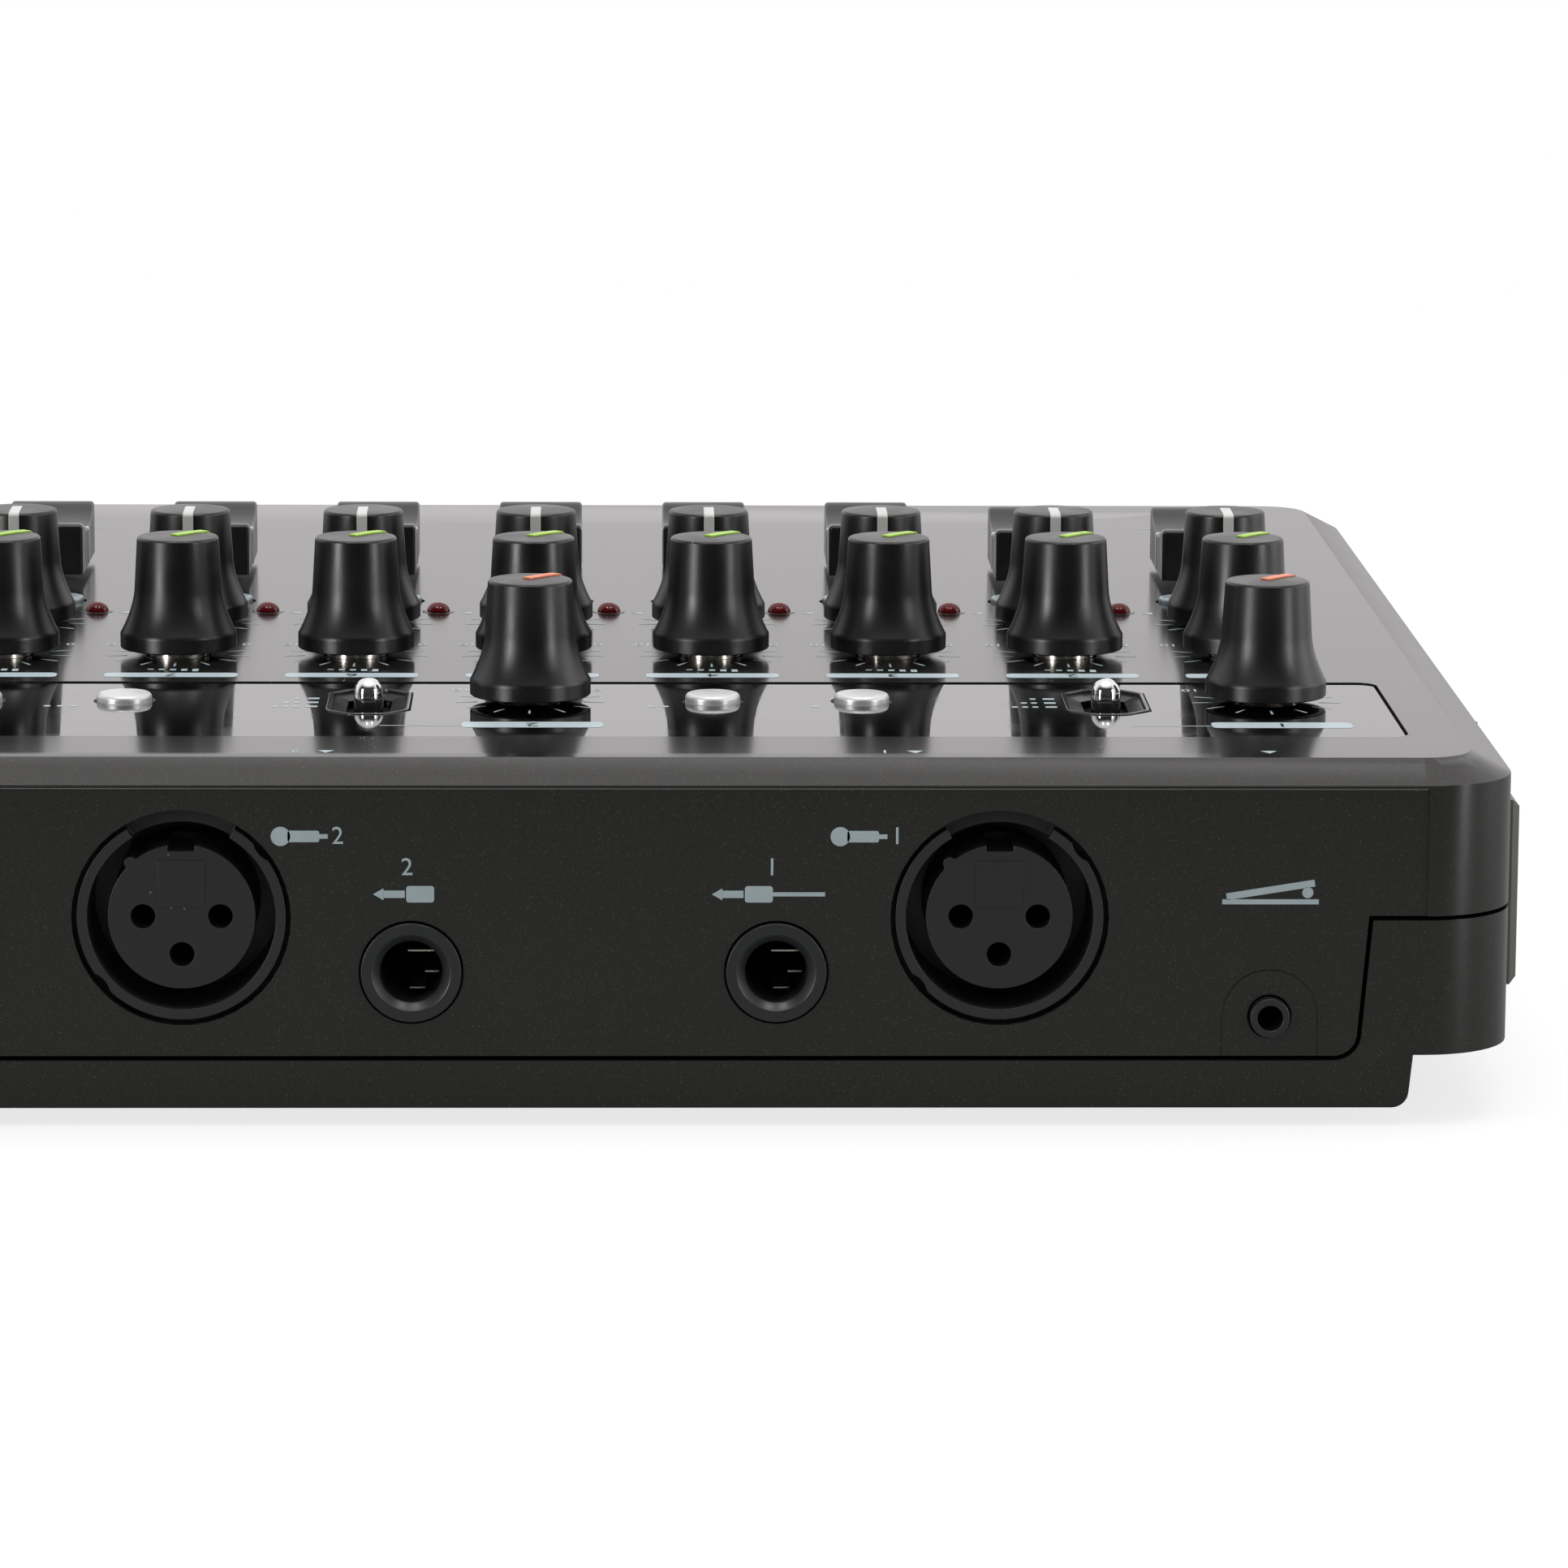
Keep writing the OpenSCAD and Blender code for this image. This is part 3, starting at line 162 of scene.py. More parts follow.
class RecorderStage(bpy.types.PropertyGroup):
    """Studio light, floor and camera."""

    soft_light: amount("Soft light", "Even light from the white studio", 0.55)
    dark_side: amount("Dark side", "What glossy surfaces see on the camera's side", 0.04)
    zenith: amount("Zenith", "What glossy surfaces see overhead", 1.25)
    left_power: amount("Left strip", "Power of the left strip lamp", 4.3, "POWER")
    right_power: amount("Right strip", "Power of the right strip lamp", 8.2, "POWER")
    side_power: amount("Side lamp", "Power of the lamp at the door side", 2.2, "POWER")
    spark_power: amount("Spark power", "Power of the two small lamps in glossy surfaces", 1.6, "POWER")
    top_power: amount("Top power", "Power of the overhead lamp", 9.0, "POWER")
    camera_place: FloatVectorProperty(
        name="Camera", description="Place of the camera", default=(-0.04818, 0.82837, 0.16898), subtype="XYZ"
    )
    yaw: amount("Yaw", "Turn of the camera from straight ahead", -0.0243, "ROTATION")
    pitch: amount("Pitch", "Dip of the camera", 0.1791, "ROTATION")
    roll: amount("Roll", "Lean of the camera", 0.005, "ROTATION")
    focal: amount("Focal length", "In pixels of the 1932 pixel picture", 8506.2)


# Handling of objects and selections


def only(piece):
    """Leave edit mode, and select nothing but this piece."""
    if bpy.context.object and bpy.context.object.mode != "OBJECT":
        bpy.ops.object.mode_set(mode="OBJECT")
    bpy.ops.object.select_all(action="DESELECT")
    if piece:
        piece.select_set(True)
        bpy.context.view_layer.objects.active = piece


def begin_edit(piece, kind="FACE"):
    """Open a piece in edit mode with nothing selected."""
    only(piece)
    bpy.ops.object.mode_set(mode="EDIT")
    bpy.ops.mesh.select_mode(type=kind)
    bpy.ops.mesh.select_all(action="DESELECT")


def end_edit():
    bpy.ops.object.mode_set(mode="OBJECT")


def close_shape():
    """Turn all faces of the open piece outwards, and leave edit mode."""
    bpy.ops.mesh.select_all(action="SELECT")
    bpy.ops.mesh.normals_make_consistent(inside=False)
    end_edit()


def draw_out(*way):
    """Extrude the selection along a way."""
    bpy.ops.mesh.extrude_region_move(TRANSFORM_OT_translate={"value": way})


def linked(name, data):
    """A new object in the scene."""
    made = bpy.data.objects.new(name, data)
    bpy.context.collection.objects.link(made)
    return made


def just_added(name):
    """The primitive that was just added, under its name."""
    bpy.context.object.name = name
    return bpy.context.object


def fix_place():
    """Leave the place, turn and scale of the selected piece in its mesh."""
    bpy.ops.object.transform_apply(location=True, rotation=True, scale=True)


def pick_faces(piece, test):
    """Select the faces whose middle and normal pass a test."""
    mesh = bmesh.from_edit_mesh(piece.data)
    for face in mesh.faces:
        face.select_set(test(face.calc_center_median(), face.normal))
    bmesh.update_edit_mesh(piece.data)


def pick_edges(piece, test, least_angle=25.0):
    """Select the edges that are sharper than an angle and whose middle passes a test."""
    mesh = bmesh.from_edit_mesh(piece.data)
    count = 0
    for edge in mesh.edges:
        sharp = len(edge.link_faces) == 2 and edge.calc_face_angle(0.0) > math.radians(least_angle)
        if sharp and test((edge.verts[0].co + edge.verts[1].co) / 2):
            edge.select_set(True)
            count += 1
    bmesh.update_edit_mesh(piece.data)
    return count


def anywhere(place):
    return True


# Angle in degrees past which the edges of a dressed piece are rounded
SHARP = 28.0


def round_edges(piece, width, segments=2, test=anywhere, least_angle=25.0):
    """Bevel the sharp edges that pass a test."""
    begin_edit(piece, "EDGE")
    if pick_edges(piece, test, least_angle):
        bpy.ops.mesh.bevel(offset=width, segments=segments, profile=0.5, affect="EDGES", clamp_overlap=True)
    end_edit()


def settle(piece, place=(0.0, 0.0, 0.0), turn=(0.0, 0.0, 0.0)):
    """Put a piece in its place and leave that place in its mesh."""
    piece.location = place
    piece.rotation_euler = turn
    only(piece)
    fix_place()
    return piece


def copied(master, name):
    """A copy of a modelled piece, with its own mesh."""
    piece = master.copy()
    piece.data = master.data.copy()
    piece.name = name
    bpy.context.collection.objects.link(piece)
    return piece


def discard(*masters):
    for master in masters:
        bpy.data.objects.remove(master)


def joined(name, pieces):
    """Several pieces as one."""
    only(pieces[0])
    for piece in pieces[1:]:
        piece.select_set(True)
    bpy.ops.object.join()
    bpy.context.object.name = name
    return bpy.context.object


def applied(piece, kind, **values):
    """Add a modifier and apply it."""
    only(piece)
    modifier = piece.modifiers.new(kind.lower(), kind)
    for key, value in values.items():
        setattr(modifier, key, value)
    bpy.ops.object.modifier_apply(modifier=modifier.name)
    return piece


def delivered(piece, body, material, replaces=(), angle=38.0):
    """Shade a finished piece, give it its finish and let it ride on its body."""
    only(piece)
    bpy.ops.object.shade_smooth_by_angle(angle=math.radians(angle))
    applied(piece, "WEIGHTED_NORMAL", mode="FACE_AREA", weight=80, keep_sharp=True)
    if not piece.data.materials:
        piece.data.materials.append(finish(material))
    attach(piece, body)
    if replaces:
        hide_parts(*replaces)
    return piece


# Ways of making shapes


def turned(name, stations, sides=64):
    """A round piece about the Z axis: a filled circle, drawn and resized from station to station."""
    only(None)
    radius, height = stations[0]
    bpy.ops.mesh.primitive_circle_add(
        vertices=sides, radius=radius, fill_type="NGON", location=(0, 0, height)
    )
    piece = just_added(name)
    fix_place()
    bpy.ops.object.mode_set(mode="EDIT")
    bpy.ops.mesh.select_all(action="SELECT")
    for (r0, z0), (r1, z1) in zip(stations, stations[1:]):
        draw_out(0, 0, z1 - z0)
        bpy.ops.transform.resize(value=(r1 / r0, r1 / r0, 1), center_override=(0, 0, z1))
    close_shape()
    return piece


def fillet(r, z, size, steps=4):
    """Stations of a quarter round from the side of a round piece to its top."""
    turn = [math.pi / 2 * i / steps for i in range(steps + 1)]
    return [(r - size + size * math.cos(a), z - size + size * math.sin(a)) for a in turn]


def block(name, size, place):
    """A box of a size at a place."""
    only(None)
    bpy.ops.mesh.primitive_cube_add(size=1, location=place)
    piece = just_added(name)
    piece.scale = size
    fix_place()
    return piece


def dressed(node, name, edge=0.0, segments=2):
    """A copy of a frame node with merged points and plain flat faces, and rounded edges if asked for."""
    mesh = nodes[node].data.copy()
    mesh.materials.clear()
    piece = linked(name, mesh)
    begin_edit(piece)
    bpy.ops.mesh.select_all(action="SELECT")
    bpy.ops.mesh.customdata_custom_splitnormals_clear()
    bpy.ops.mesh.remove_doubles(threshold=0.002 * MM)
    bpy.ops.mesh.dissolve_limited(angle_limit=math.radians(0.4))
    end_edit()
    if edge:
        round_edges(piece, edge, segments, anywhere, SHARP)
    return piece


def blank(name):
    """An empty piece, open in edit mode, that flat shapes are added to."""
    only(None)
    piece = linked(name, bpy.data.meshes.new(name))
    begin_edit(piece, "VERT")
    return piece


def flat_bar(x, y, wide, tall, turn=0.0, corner=0.0):
    """A flat bar, turned about its middle, with rounded corners if asked for."""
    bpy.ops.mesh.select_all(action="DESELECT")
    bpy.ops.mesh.primitive_plane_add(size=1, location=(x, y, 0))
    bpy.ops.transform.resize(value=(wide, tall, 1), center_override=(x, y, 0))
    if corner:
        bpy.ops.mesh.bevel(offset=corner, segments=4, affect="VERTICES")
    if turn:
        bpy.ops.transform.rotate(value=-turn, orient_axis="Z", center_override=(x, y, 0))


# Turns of a three-sided disc that make it an arrow
POINT_LEFT, POINT_RIGHT = math.pi / 2, -math.pi / 2


def flat_disc(x, y, radius, sides=24, turn=0.0):
    """A flat disc, or a regular shape with few sides."""
    bpy.ops.mesh.select_all(action="DESELECT")
    bpy.ops.mesh.primitive_circle_add(vertices=sides, radius=radius, fill_type="NGON", location=(x, y, 0))
    if turn:
        bpy.ops.transform.rotate(value=-turn, orient_axis="Z", center_override=(x, y, 0))


def flat_text(text, size, x, y):
    """A numeral as a flat shape."""
    only(None)
    bpy.ops.object.text_add(location=(x, y, 0))
    piece = bpy.context.object
    piece.data.body = text
    piece.data.size = size
    piece.data.align_x = "CENTER"
    piece.data.align_y = "CENTER"
    piece.data.resolution_u = 4
    bpy.ops.object.convert(target="MESH")
    fix_place()
    return bpy.context.object


def inked(name, pieces, body, place, turn=(0.0, 0.0, 0.0), material="ink_pale"):
    """Flat shapes as one thin coat of ink at a place."""
    piece = joined(name, pieces)
    applied(piece, "SOLIDIFY", thickness=bpy.context.scene.recorder_case.print_lift, offset=1.0)
    settle(piece, place, turn)
    return delivered(piece, body, material)


# Materials


COLOUR, NUMBER = "NodeSocketColor", "NodeSocketFloat"
PAINT, PLASTIC, METAL = "Fleck paint", "Moulded plastic", "Streaked metal"


def new_group(name, inputs):
    """An empty shader group with named inputs that puts out a colour, a roughness and a height."""
    group = bpy.data.node_groups.new(name, "ShaderNodeTree")
    for label, value in inputs.items():
        kind = COLOUR if isinstance(value, tuple) else NUMBER
        group.interface.new_socket(label, in_out="INPUT", socket_type=kind).default_value = value
    for label, kind in (("Color", COLOUR), ("Roughness", NUMBER), ("Height", NUMBER)):
        group.interface.new_socket(label, in_out="OUTPUT", socket_type=kind)
    given = group.nodes.new("NodeGroupInput").outputs
    return group, given, group.nodes.new("NodeGroupOutput").inputs


def put_out(group, end, colour, rough, height):
    """Join the results of a group to its outputs."""
    for label, result in (("Color", colour), ("Roughness", rough), ("Height", height)):
        group.links.new(result, end[label])
    return group


def add_node(tree, kind, links=(), **values):
    """A node with its settings, fed by the given sockets."""
    node = tree.nodes.new("ShaderNode" + kind)
    for key, value in values.items():
        setattr(node, key, value)
    for socket, source in links:
        if isinstance(source, bpy.types.NodeSocket):
            tree.links.new(source, node.inputs[socket])
        else:
            node.inputs[socket].default_value = source
    return node


def maths(tree, operation, *values):
    """The result of a sum on numbers and sockets."""
    return add_node(tree, "Math", enumerate(values), operation=operation).outputs[0]


def ramp(tree, source, low, high, start=0.0, end=1.0):
    """A value carried smoothly from start to end as the source goes from low to high."""
    return add_node(
        tree,
        "MapRange",
        (("Value", source), ("From Min", low), ("From Max", high), ("To Min", start), ("To Max", end)),
        interpolation_type="SMOOTHSTEP",
    ).outputs["Result"]


def blend_colours(tree, factor, first, second):
    return add_node(tree, "Mix", (("Factor", factor), (6, first), (7, second)), data_type="RGBA").outputs[2]


def blend_numbers(tree, factor, first, second):
    return add_node(tree, "Mix", (("Factor", factor), (2, first), (3, second))).outputs[0]


def object_place(tree):
    return add_node(tree, "TexCoord").outputs["Object"]


def noise(tree, place, scale, detail):
    feeds = (("Vector", place), ("Scale", scale), ("Detail", detail))
    return add_node(tree, "TexNoise", feeds).outputs["Fac"]


def spots(tree, place, scale, share, channel, core, rim):
    """Mask of round spots in a share of the cells, which a channel of their chance colour picks."""
    cells = add_node(tree, "TexVoronoi", (("Vector", place), ("Scale", scale))).outputs
    draw = add_node(tree, "SeparateColor", (("Color", cells["Color"]),)).outputs[channel]
    chosen = maths(tree, "GREATER_THAN", draw, maths(tree, "SUBTRACT", 1.0, share))
    return maths(tree, "MULTIPLY", chosen, ramp(tree, cells["Distance"], core, rim, 1.0, 0.0))


def fleck_paint():
    """Paint with a fine metal fleck, an uneven sheen and a soft grain."""
    group, given, end = new_group(PAINT, {
        "Paint": (0.02, 0.02, 0.02, 1), "Fleck": (0.1, 0.1, 0.1, 1),
        "Fleck Scale": 4200.0, "Fleck Share": 0.2, "Roughness": 0.3,
    })
    place = object_place(group)
    fleck = spots(group, place, given["Fleck Scale"], given["Fleck Share"], "Red", 0.15, 0.5)
    cloud = noise(group, place, 60.0, 3.0)
    shade = ramp(group, cloud, 0.3, 0.7, 0.0, 0.12)
    flecked = blend_colours(group, fleck, given["Paint"], given["Fleck"])
    colour = blend_colours(group, shade, flecked, (0.004, 0.004, 0.004, 1))
    rough = maths(group, "ADD", given["Roughness"], ramp(group, cloud, 0.3, 0.7, -0.003, 0.003))
    return put_out(group, end, colour, rough, noise(group, place, 2600.0, 2.0))


def moulded_plastic():
    """Moulded plastic: a fine spark-eroded grain, faint flow marks and a few specks of dust."""
    group, given, end = new_group(PLASTIC, {
        "Colour": (0.02, 0.02, 0.02, 1), "Dust": (0.25, 0.25, 0.25, 1),
        "Dust Share": 0.004, "Grain Scale": 3200.0, "Roughness": 0.35,
    })
    place = object_place(group)
    speck = spots(group, place, 900.0, given["Dust Share"], "Green", 0.06, 0.12)
    cloud = noise(group, place, 180.0, 3.0)
    shade = ramp(group, cloud, 0.3, 0.75, 0.0, 0.1)
    base = blend_colours(group, shade, given["Colour"], (0.003, 0.003, 0.003, 1))
    colour = blend_colours(group, speck, base, given["Dust"])
    rough = maths(group, "ADD", given["Roughness"], ramp(group, cloud, 0.3, 0.7, -0.03, 0.05))
    return put_out(group, end, colour, rough, noise(group, place, given["Grain Scale"], 2.0))


def streaked_metal():
    """Plated or painted metal with fine streaks along one axis and a faint tarnish."""
    group, given, end = new_group(METAL, {
        "Colour": (0.6, 0.6, 0.6, 1), "Tarnish": (0.3, 0.28, 0.25, 1),
        "Streak Scale": 300.0, "Roughness": 0.2,
    })
    place = object_place(group)
    stretch = add_node(group, "Mapping", (("Vector", place), ("Scale", (1.0, 1.0, 14.0)))).outputs[0]
    streak = noise(group, stretch, given["Streak Scale"], 4.0)
    share = ramp(group, noise(group, place, 220.0, 2.0), 0.45, 0.8, 0.0, 0.45)
    colour = blend_colours(group, share, given["Colour"], given["Tarnish"])
    rough = maths(group, "ADD", given["Roughness"], ramp(group, streak, 0.3, 0.7, -0.05, 0.07))
    return put_out(group, end, colour, rough, streak)


GROUPS = {PAINT: fleck_paint, PLASTIC: moulded_plastic, METAL: streaked_metal}


def surface(name, group_name, values, bump, plain):
    """A material whose colour, roughness and bump, in millimetres, come from a shared group."""
    group = bpy.data.node_groups.get(group_name) or GROUPS[group_name]()
    material = bpy.data.materials.new("finish_" + name)
    material.use_nodes = True
    tree = material.node_tree
    shader = tree.nodes["Principled BSDF"]
    effect = tree.nodes.new("ShaderNodeGroup")
    effect.node_tree = group
    for label, value in values.items():
        effect.inputs[label].default_value = value
    tree.links.new(effect.outputs["Color"], shader.inputs["Base Color"])
    tree.links.new(effect.outputs["Roughness"], shader.inputs["Roughness"])
    if bump:
        height = add_node(
            tree, "Bump", (("Strength", 1.0), ("Distance", bump * MM), ("Height", effect.outputs["Height"]))
        )
        tree.links.new(height.outputs["Normal"], shader.inputs["Normal"])
    for label, value in plain.items():
        shader.inputs[label.replace("_", " ")].default_value = value
    return material


def opaque(colour):
    return (*colour[:3], 1.0)


def painted(colour, fleck, share, rough, bump):
    """What a flecked paint is made of."""
    values = {"Paint": opaque(colour), "Fleck": opaque(fleck), "Fleck Scale": 7600.0, "Fleck Share": share}
    return PAINT, {**values, "Roughness": rough}, bump, {}


def plastic(colour, dust, rough, bump=0.0, grain=3200.0, speck=(0.25, 0.25, 0.25), **plain):
    """What a moulded plastic is made of."""
    values = {"Colour": opaque(colour), "Dust": opaque(speck), "Dust Share": dust, "Grain Scale": grain}
    return PLASTIC, {**values, "Roughness": rough}, bump, plain


def metal(colour, tarnish, rough, bump=0.0, streak=300.0, metallic=1.0):
    """What a plated or painted metal is made of."""
    values = {"Colour": opaque(colour), "Tarnish": opaque(tarnish), "Streak Scale": streak}
    return METAL, {**values, "Roughness": rough}, bump, {"Metallic": metallic}


def finish_table(case, knobs):
    """What every finish is made of."""
    grime = (0.1, 0.1, 0.09)
    return {
        "case_paint": painted(case.paint, case.fleck, share=0.07, rough=0.27, bump=0.004),
        "plate_paint": painted(case.plate, case.fleck, share=0.02, rough=0.15, bump=0.0006),
        "gloss_acrylic": plastic(
            case.panel, dust=0.003, rough=0.045, IOR=1.58, Coat_Weight=0.3, Coat_Roughness=0.03
        ),
        # Painted highlight: pale warm colour of the panel's cut edge where it catches light
        "acrylic_edge": plastic(case.panel_edge_highlight, dust=0.0, rough=0.2, bump=0.002),
        "socket_black": plastic(case.socket, dust=0.012, rough=0.36, bump=0.006),
        "bezel_black": plastic(case.socket, dust=0.004, rough=0.2, bump=0.003),
        "socket_ring": plastic((0.026, 0.026, 0.027), dust=0.012, rough=0.33, bump=0.006),
        "nose_grey": plastic((0.020, 0.022, 0.024), dust=0.01, rough=0.38, bump=0.004),
        # Painted shade: near-black for the gap under the rear lip and behind the microphone rings
        "joint_black": plastic((0.004, 0.004, 0.004), dust=0.0, rough=0.6, bump=0.004),
        # Painted highlight: pale grey for the edge below the rear lip where it catches light
        "bead_grey": plastic((0.30, 0.29, 0.26), dust=0.01, rough=0.4, bump=0.004),
        "door_grey": plastic(case.door, dust=0.002, rough=0.42, bump=0.006),
        "ink_pale": plastic(case.ink, dust=0.0, rough=0.42, bump=0.002, grain=5000.0),
        "ink_dark": plastic(case.dark_ink, dust=0.0, rough=0.42, bump=0.002),
        "knob_black": plastic(knobs.black, dust=0.006, rough=0.33, bump=0.008),
        "wheel_black": plastic(knobs.fader, dust=0.006, rough=0.4, bump=0.006),
        "fader_black": plastic(knobs.fader, dust=0.008, rough=0.29, bump=0.005),
        "key_grey": plastic((0.035, 0.035, 0.037), dust=0.004, rough=0.4, bump=0.006),
        "pointer_white": plastic(knobs.pan, dust=0.004, rough=0.32, bump=0.003, speck=grime),
        "pointer_green": plastic(knobs.reverb, dust=0.004, rough=0.32, bump=0.003, speck=grime),
        "pointer_orange": plastic(knobs.trim, dust=0.004, rough=0.32, bump=0.003, speck=grime),
        "lamp_red": plastic(knobs.lens, dust=0.0, rough=0.06, IOR=1.38),
        "rubber_black": plastic((0.012, 0.012, 0.012), dust=0.03, rough=0.75, bump=0.02, grain=1800.0),
        "board_green": plastic((0.012, 0.085, 0.035), dust=0.02, rough=0.4, bump=0.01, grain=900.0),
        "display_glass": plastic((0.24, 0.28, 0.18), dust=0.0, rough=0.35, bump=0.001, grain=4000.0),
        "clear_window": plastic((0.02, 0.021, 0.021), dust=0.0, rough=0.05, Alpha=0.16),
        "nickel": metal((0.66, 0.63, 0.57), (0.40, 0.37, 0.31), rough=0.2, bump=0.002),
        "chrome": metal((0.86, 0.86, 0.87), (0.70, 0.70, 0.71), rough=0.07),
        "silver_paint": metal(
            knobs.silver, (0.66, 0.67, 0.68), rough=0.42, bump=0.002, streak=900.0, metallic=0.55
        ),
        "pill_silver": metal(
            (0.34, 0.40, 0.42), (0.30, 0.36, 0.38), rough=0.36, bump=0.002, streak=900.0, metallic=0.5
        ),
        "screw_black": metal((0.05, 0.05, 0.052), (0.09, 0.085, 0.08), rough=0.34, bump=0.003),
    }


def finish(name):
    """The material of that name, made when it is first used."""
    made = bpy.data.materials.get("finish_" + name)
    scene = bpy.context.scene
    return made or surface(name, *finish_table(scene.recorder_case, scene.recorder_knobs)[name])


def paint_faces(piece, names, *tests):
    """Give a piece its first finish, and the further ones on the faces that pass their tests."""
    for name in names:
        piece.data.materials.append(finish(name))
    for i, test in enumerate(tests):
        begin_edit(piece)
        pick_faces(piece, test)
        piece.active_material_index = i + 1
        bpy.ops.object.material_slot_assign()
        end_edit()


# Stage


def make_world(look):
    """White studio: even soft light, white to the camera, and darker on the camera's side in reflections."""
    white, mirror_tint = (1.0, 1.0, 1.0, 1.0), (1.0, 0.972, 0.982, 1.0)
    sideways, dim_from, dim_to = 0.22, -0.1, 0.5
    zenith_from, zenith_to = 0.6, 0.95
    world = bpy.data.worlds.new("white_studio")
    bpy.context.scene.world = world
    world.use_nodes = True
    tree = world.node_tree
    sky = tree.nodes["Background"].inputs
    path = add_node(tree, "LightPath").outputs
    way = add_node(tree, "TexCoord").outputs["Generated"]
    axes = add_node(tree, "SeparateXYZ", (("Vector", way),)).outputs
    slant = maths(tree, "MULTIPLY_ADD", axes["X"], sideways, axes["Y"])
    away = ramp(tree, slant, dim_from, dim_to, 1.0, look.dark_side)
    above = ramp(tree, axes["Z"], zenith_from, zenith_to, 0.0, look.zenith)
    mirrored = maths(tree, "MAXIMUM", path["Is Glossy Ray"], path["Is Transmission Ray"])
    tree.links.new(blend_colours(tree, mirrored, white, mirror_tint), sky["Color"])
    light = blend_numbers(tree, mirrored, look.soft_light, maths(tree, "MAXIMUM", away, above))
    tree.links.new(blend_numbers(tree, path["Is Camera Ray"], light, 1.0), sky["Strength"])


def make_floor():
    """Pale floor that keeps the shadow, fades into the white studio and is clear from below."""
    radius, fade_from, fade_to = 1.6, 0.25, 0.75
    glow_unseen, glow_seen = 0.12, 0.78
    pale = (0.3, 0.3, 0.3, 1.0)
    only(None)
    bpy.ops.mesh.primitive_circle_add(vertices=96, radius=radius, fill_type="NGON")
    floor = just_added("floor")
    material = bpy.data.materials.new("pale_floor")
    material.use_nodes = True
    tree = material.node_tree
    tree.nodes.remove(tree.nodes["Principled BSDF"])
    seen = add_node(tree, "LightPath").outputs["Is Camera Ray"]
    glow = blend_numbers(tree, seen, glow_unseen, glow_seen)
    matte = add_node(tree, "BsdfDiffuse", (("Color", pale),))
    shine = add_node(tree, "Emission", (("Strength", glow),))
    both = add_node(tree, "AddShader", ((0, matte.outputs[0]), (1, shine.outputs[0])))
    reach = add_node(tree, "VectorMath", ((0, object_place(tree)),), operation="LENGTH").outputs["Value"]
    under = add_node(tree, "NewGeometry").outputs["Backfacing"]
    faded = maths(tree, "MAXIMUM", ramp(tree, reach, fade_from, fade_to), under)
    clear = add_node(tree, "BsdfTransparent")
    blend = add_node(tree, "MixShader", ((0, faded), (1, both.outputs[0]), (2, clear.outputs[0])))
    tree.links.new(blend.outputs[0], tree.nodes["Material Output"].inputs["Surface"])
    floor.data.materials.append(material)


# Name, power setting, place, target, width and height of each lamp, and the rays that don't see it
STUDIO_LAMPS = (
    ("overhead_lamp", "top_power", (0.0, -0.1, 1.1), (0.0, 0.0, 0.0), 1.3, 1.0, "glossy"),
    ("strip_lamp_left", "left_power", (-0.93, 0.66, 0.13), (0.0, 0.05, 0.04), 0.15, 0.75, "diffuse"),
    ("strip_lamp_right", "right_power", (0.82, 0.76, 0.13), (0.0, 0.05, 0.04), 0.15, 0.75, "diffuse"),
    ("side_lamp", "side_power", (-1.2, -0.05, 0.3), (-0.1, 0.0, 0.03), 0.5, 0.9, "diffuse"),
    ("spark_lamp_left", "spark_power", (-0.34, 0.30, 1.0), (0.0, 0.0, 0.04), 0.13, 0.13, "diffuse"),
    ("spark_lamp_right", "spark_power", (0.16, 0.30, 1.0), (0.0, 0.0, 0.04), 0.13, 0.13, "diffuse"),
)


def make_lamps(look):
    """Soft lamps that face their targets."""
    for name, power, place, target, width, height, unseen in STUDIO_LAMPS:
        data = bpy.data.lights.new(name, "AREA")
        data.shape = "RECTANGLE"
        data.size, data.size_y = width, height
        data.energy = getattr(look, power)
        lamp = linked(name, data)
        lamp.location = place
        lamp.rotation_euler = (Vector(target) - Vector(place)).to_track_quat("-Z", "Y").to_euler()
        setattr(lamp, "visible_" + unseen, False)


def make_camera(look):
    """Camera at the photograph's place and angle."""
    data = bpy.data.cameras.new("camera")
    data.sensor_width = SENSOR
    data.lens = look.focal / IMAGE_SIDE * SENSOR
    camera = linked("camera", data)
    camera.location = look.camera_place
    ahead = Vector((
        math.sin(look.yaw) * math.cos(look.pitch),
        -math.cos(look.yaw) * math.cos(look.pitch),
        -math.sin(look.pitch),
    ))
    lean = Quaternion((0.0, 0.0, 1.0), look.roll)
    camera.rotation_euler = (ahead.to_track_quat("-Z", "Y") @ lean).to_euler()
    bpy.context.scene.camera = camera


class RECORDER_OT_stage(bpy.types.Operator):
    """Make the studio, its floor and lamps, and the camera"""

    bl_idname = "recorder.stage"
    bl_label = "Stage"

    def execute(self, context):
        context.scene.view_settings.view_transform = "Standard"
        look = context.scene.recorder_stage
        make_world(look)
        make_floor()
        make_lamps(look)
        make_camera(look)
        return {"FINISHED"}


# Case


def faces_up(place, normal):
    return normal.z > 0.99


def upright(place, normal):
    return abs(normal.z) < 0.2


class RECORDER_OT_case(bpy.types.Operator):
    """Dress the two halves of the case"""

    bl_idname = "recorder.case"
    bl_label = "Case"

    def execute(self, context):
        look = context.scene.recorder_case
        plinth_round = 1.6 * MM
        plinth_end = 133.0 * MM
        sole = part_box("bottom_case")[0].z + 0.3 * MM
        for node, name in (("top_case", "upper_case"), ("bottom_case", "lower_case")):
            piece = dressed(node, name)
            if node == "bottom_case":
                round_edges(
                    piece, plinth_round, 5, lambda place: place.z < sole and abs(place.x) > plinth_end
                )
            round_edges(piece, look.edge, 2, anywhere, SHARP)
            paint_faces(piece, ("case_paint", "plate_paint"), faces_up)
            delivered(piece, "case", "case_paint", [node], 30.0)
        return {"FINISHED"}


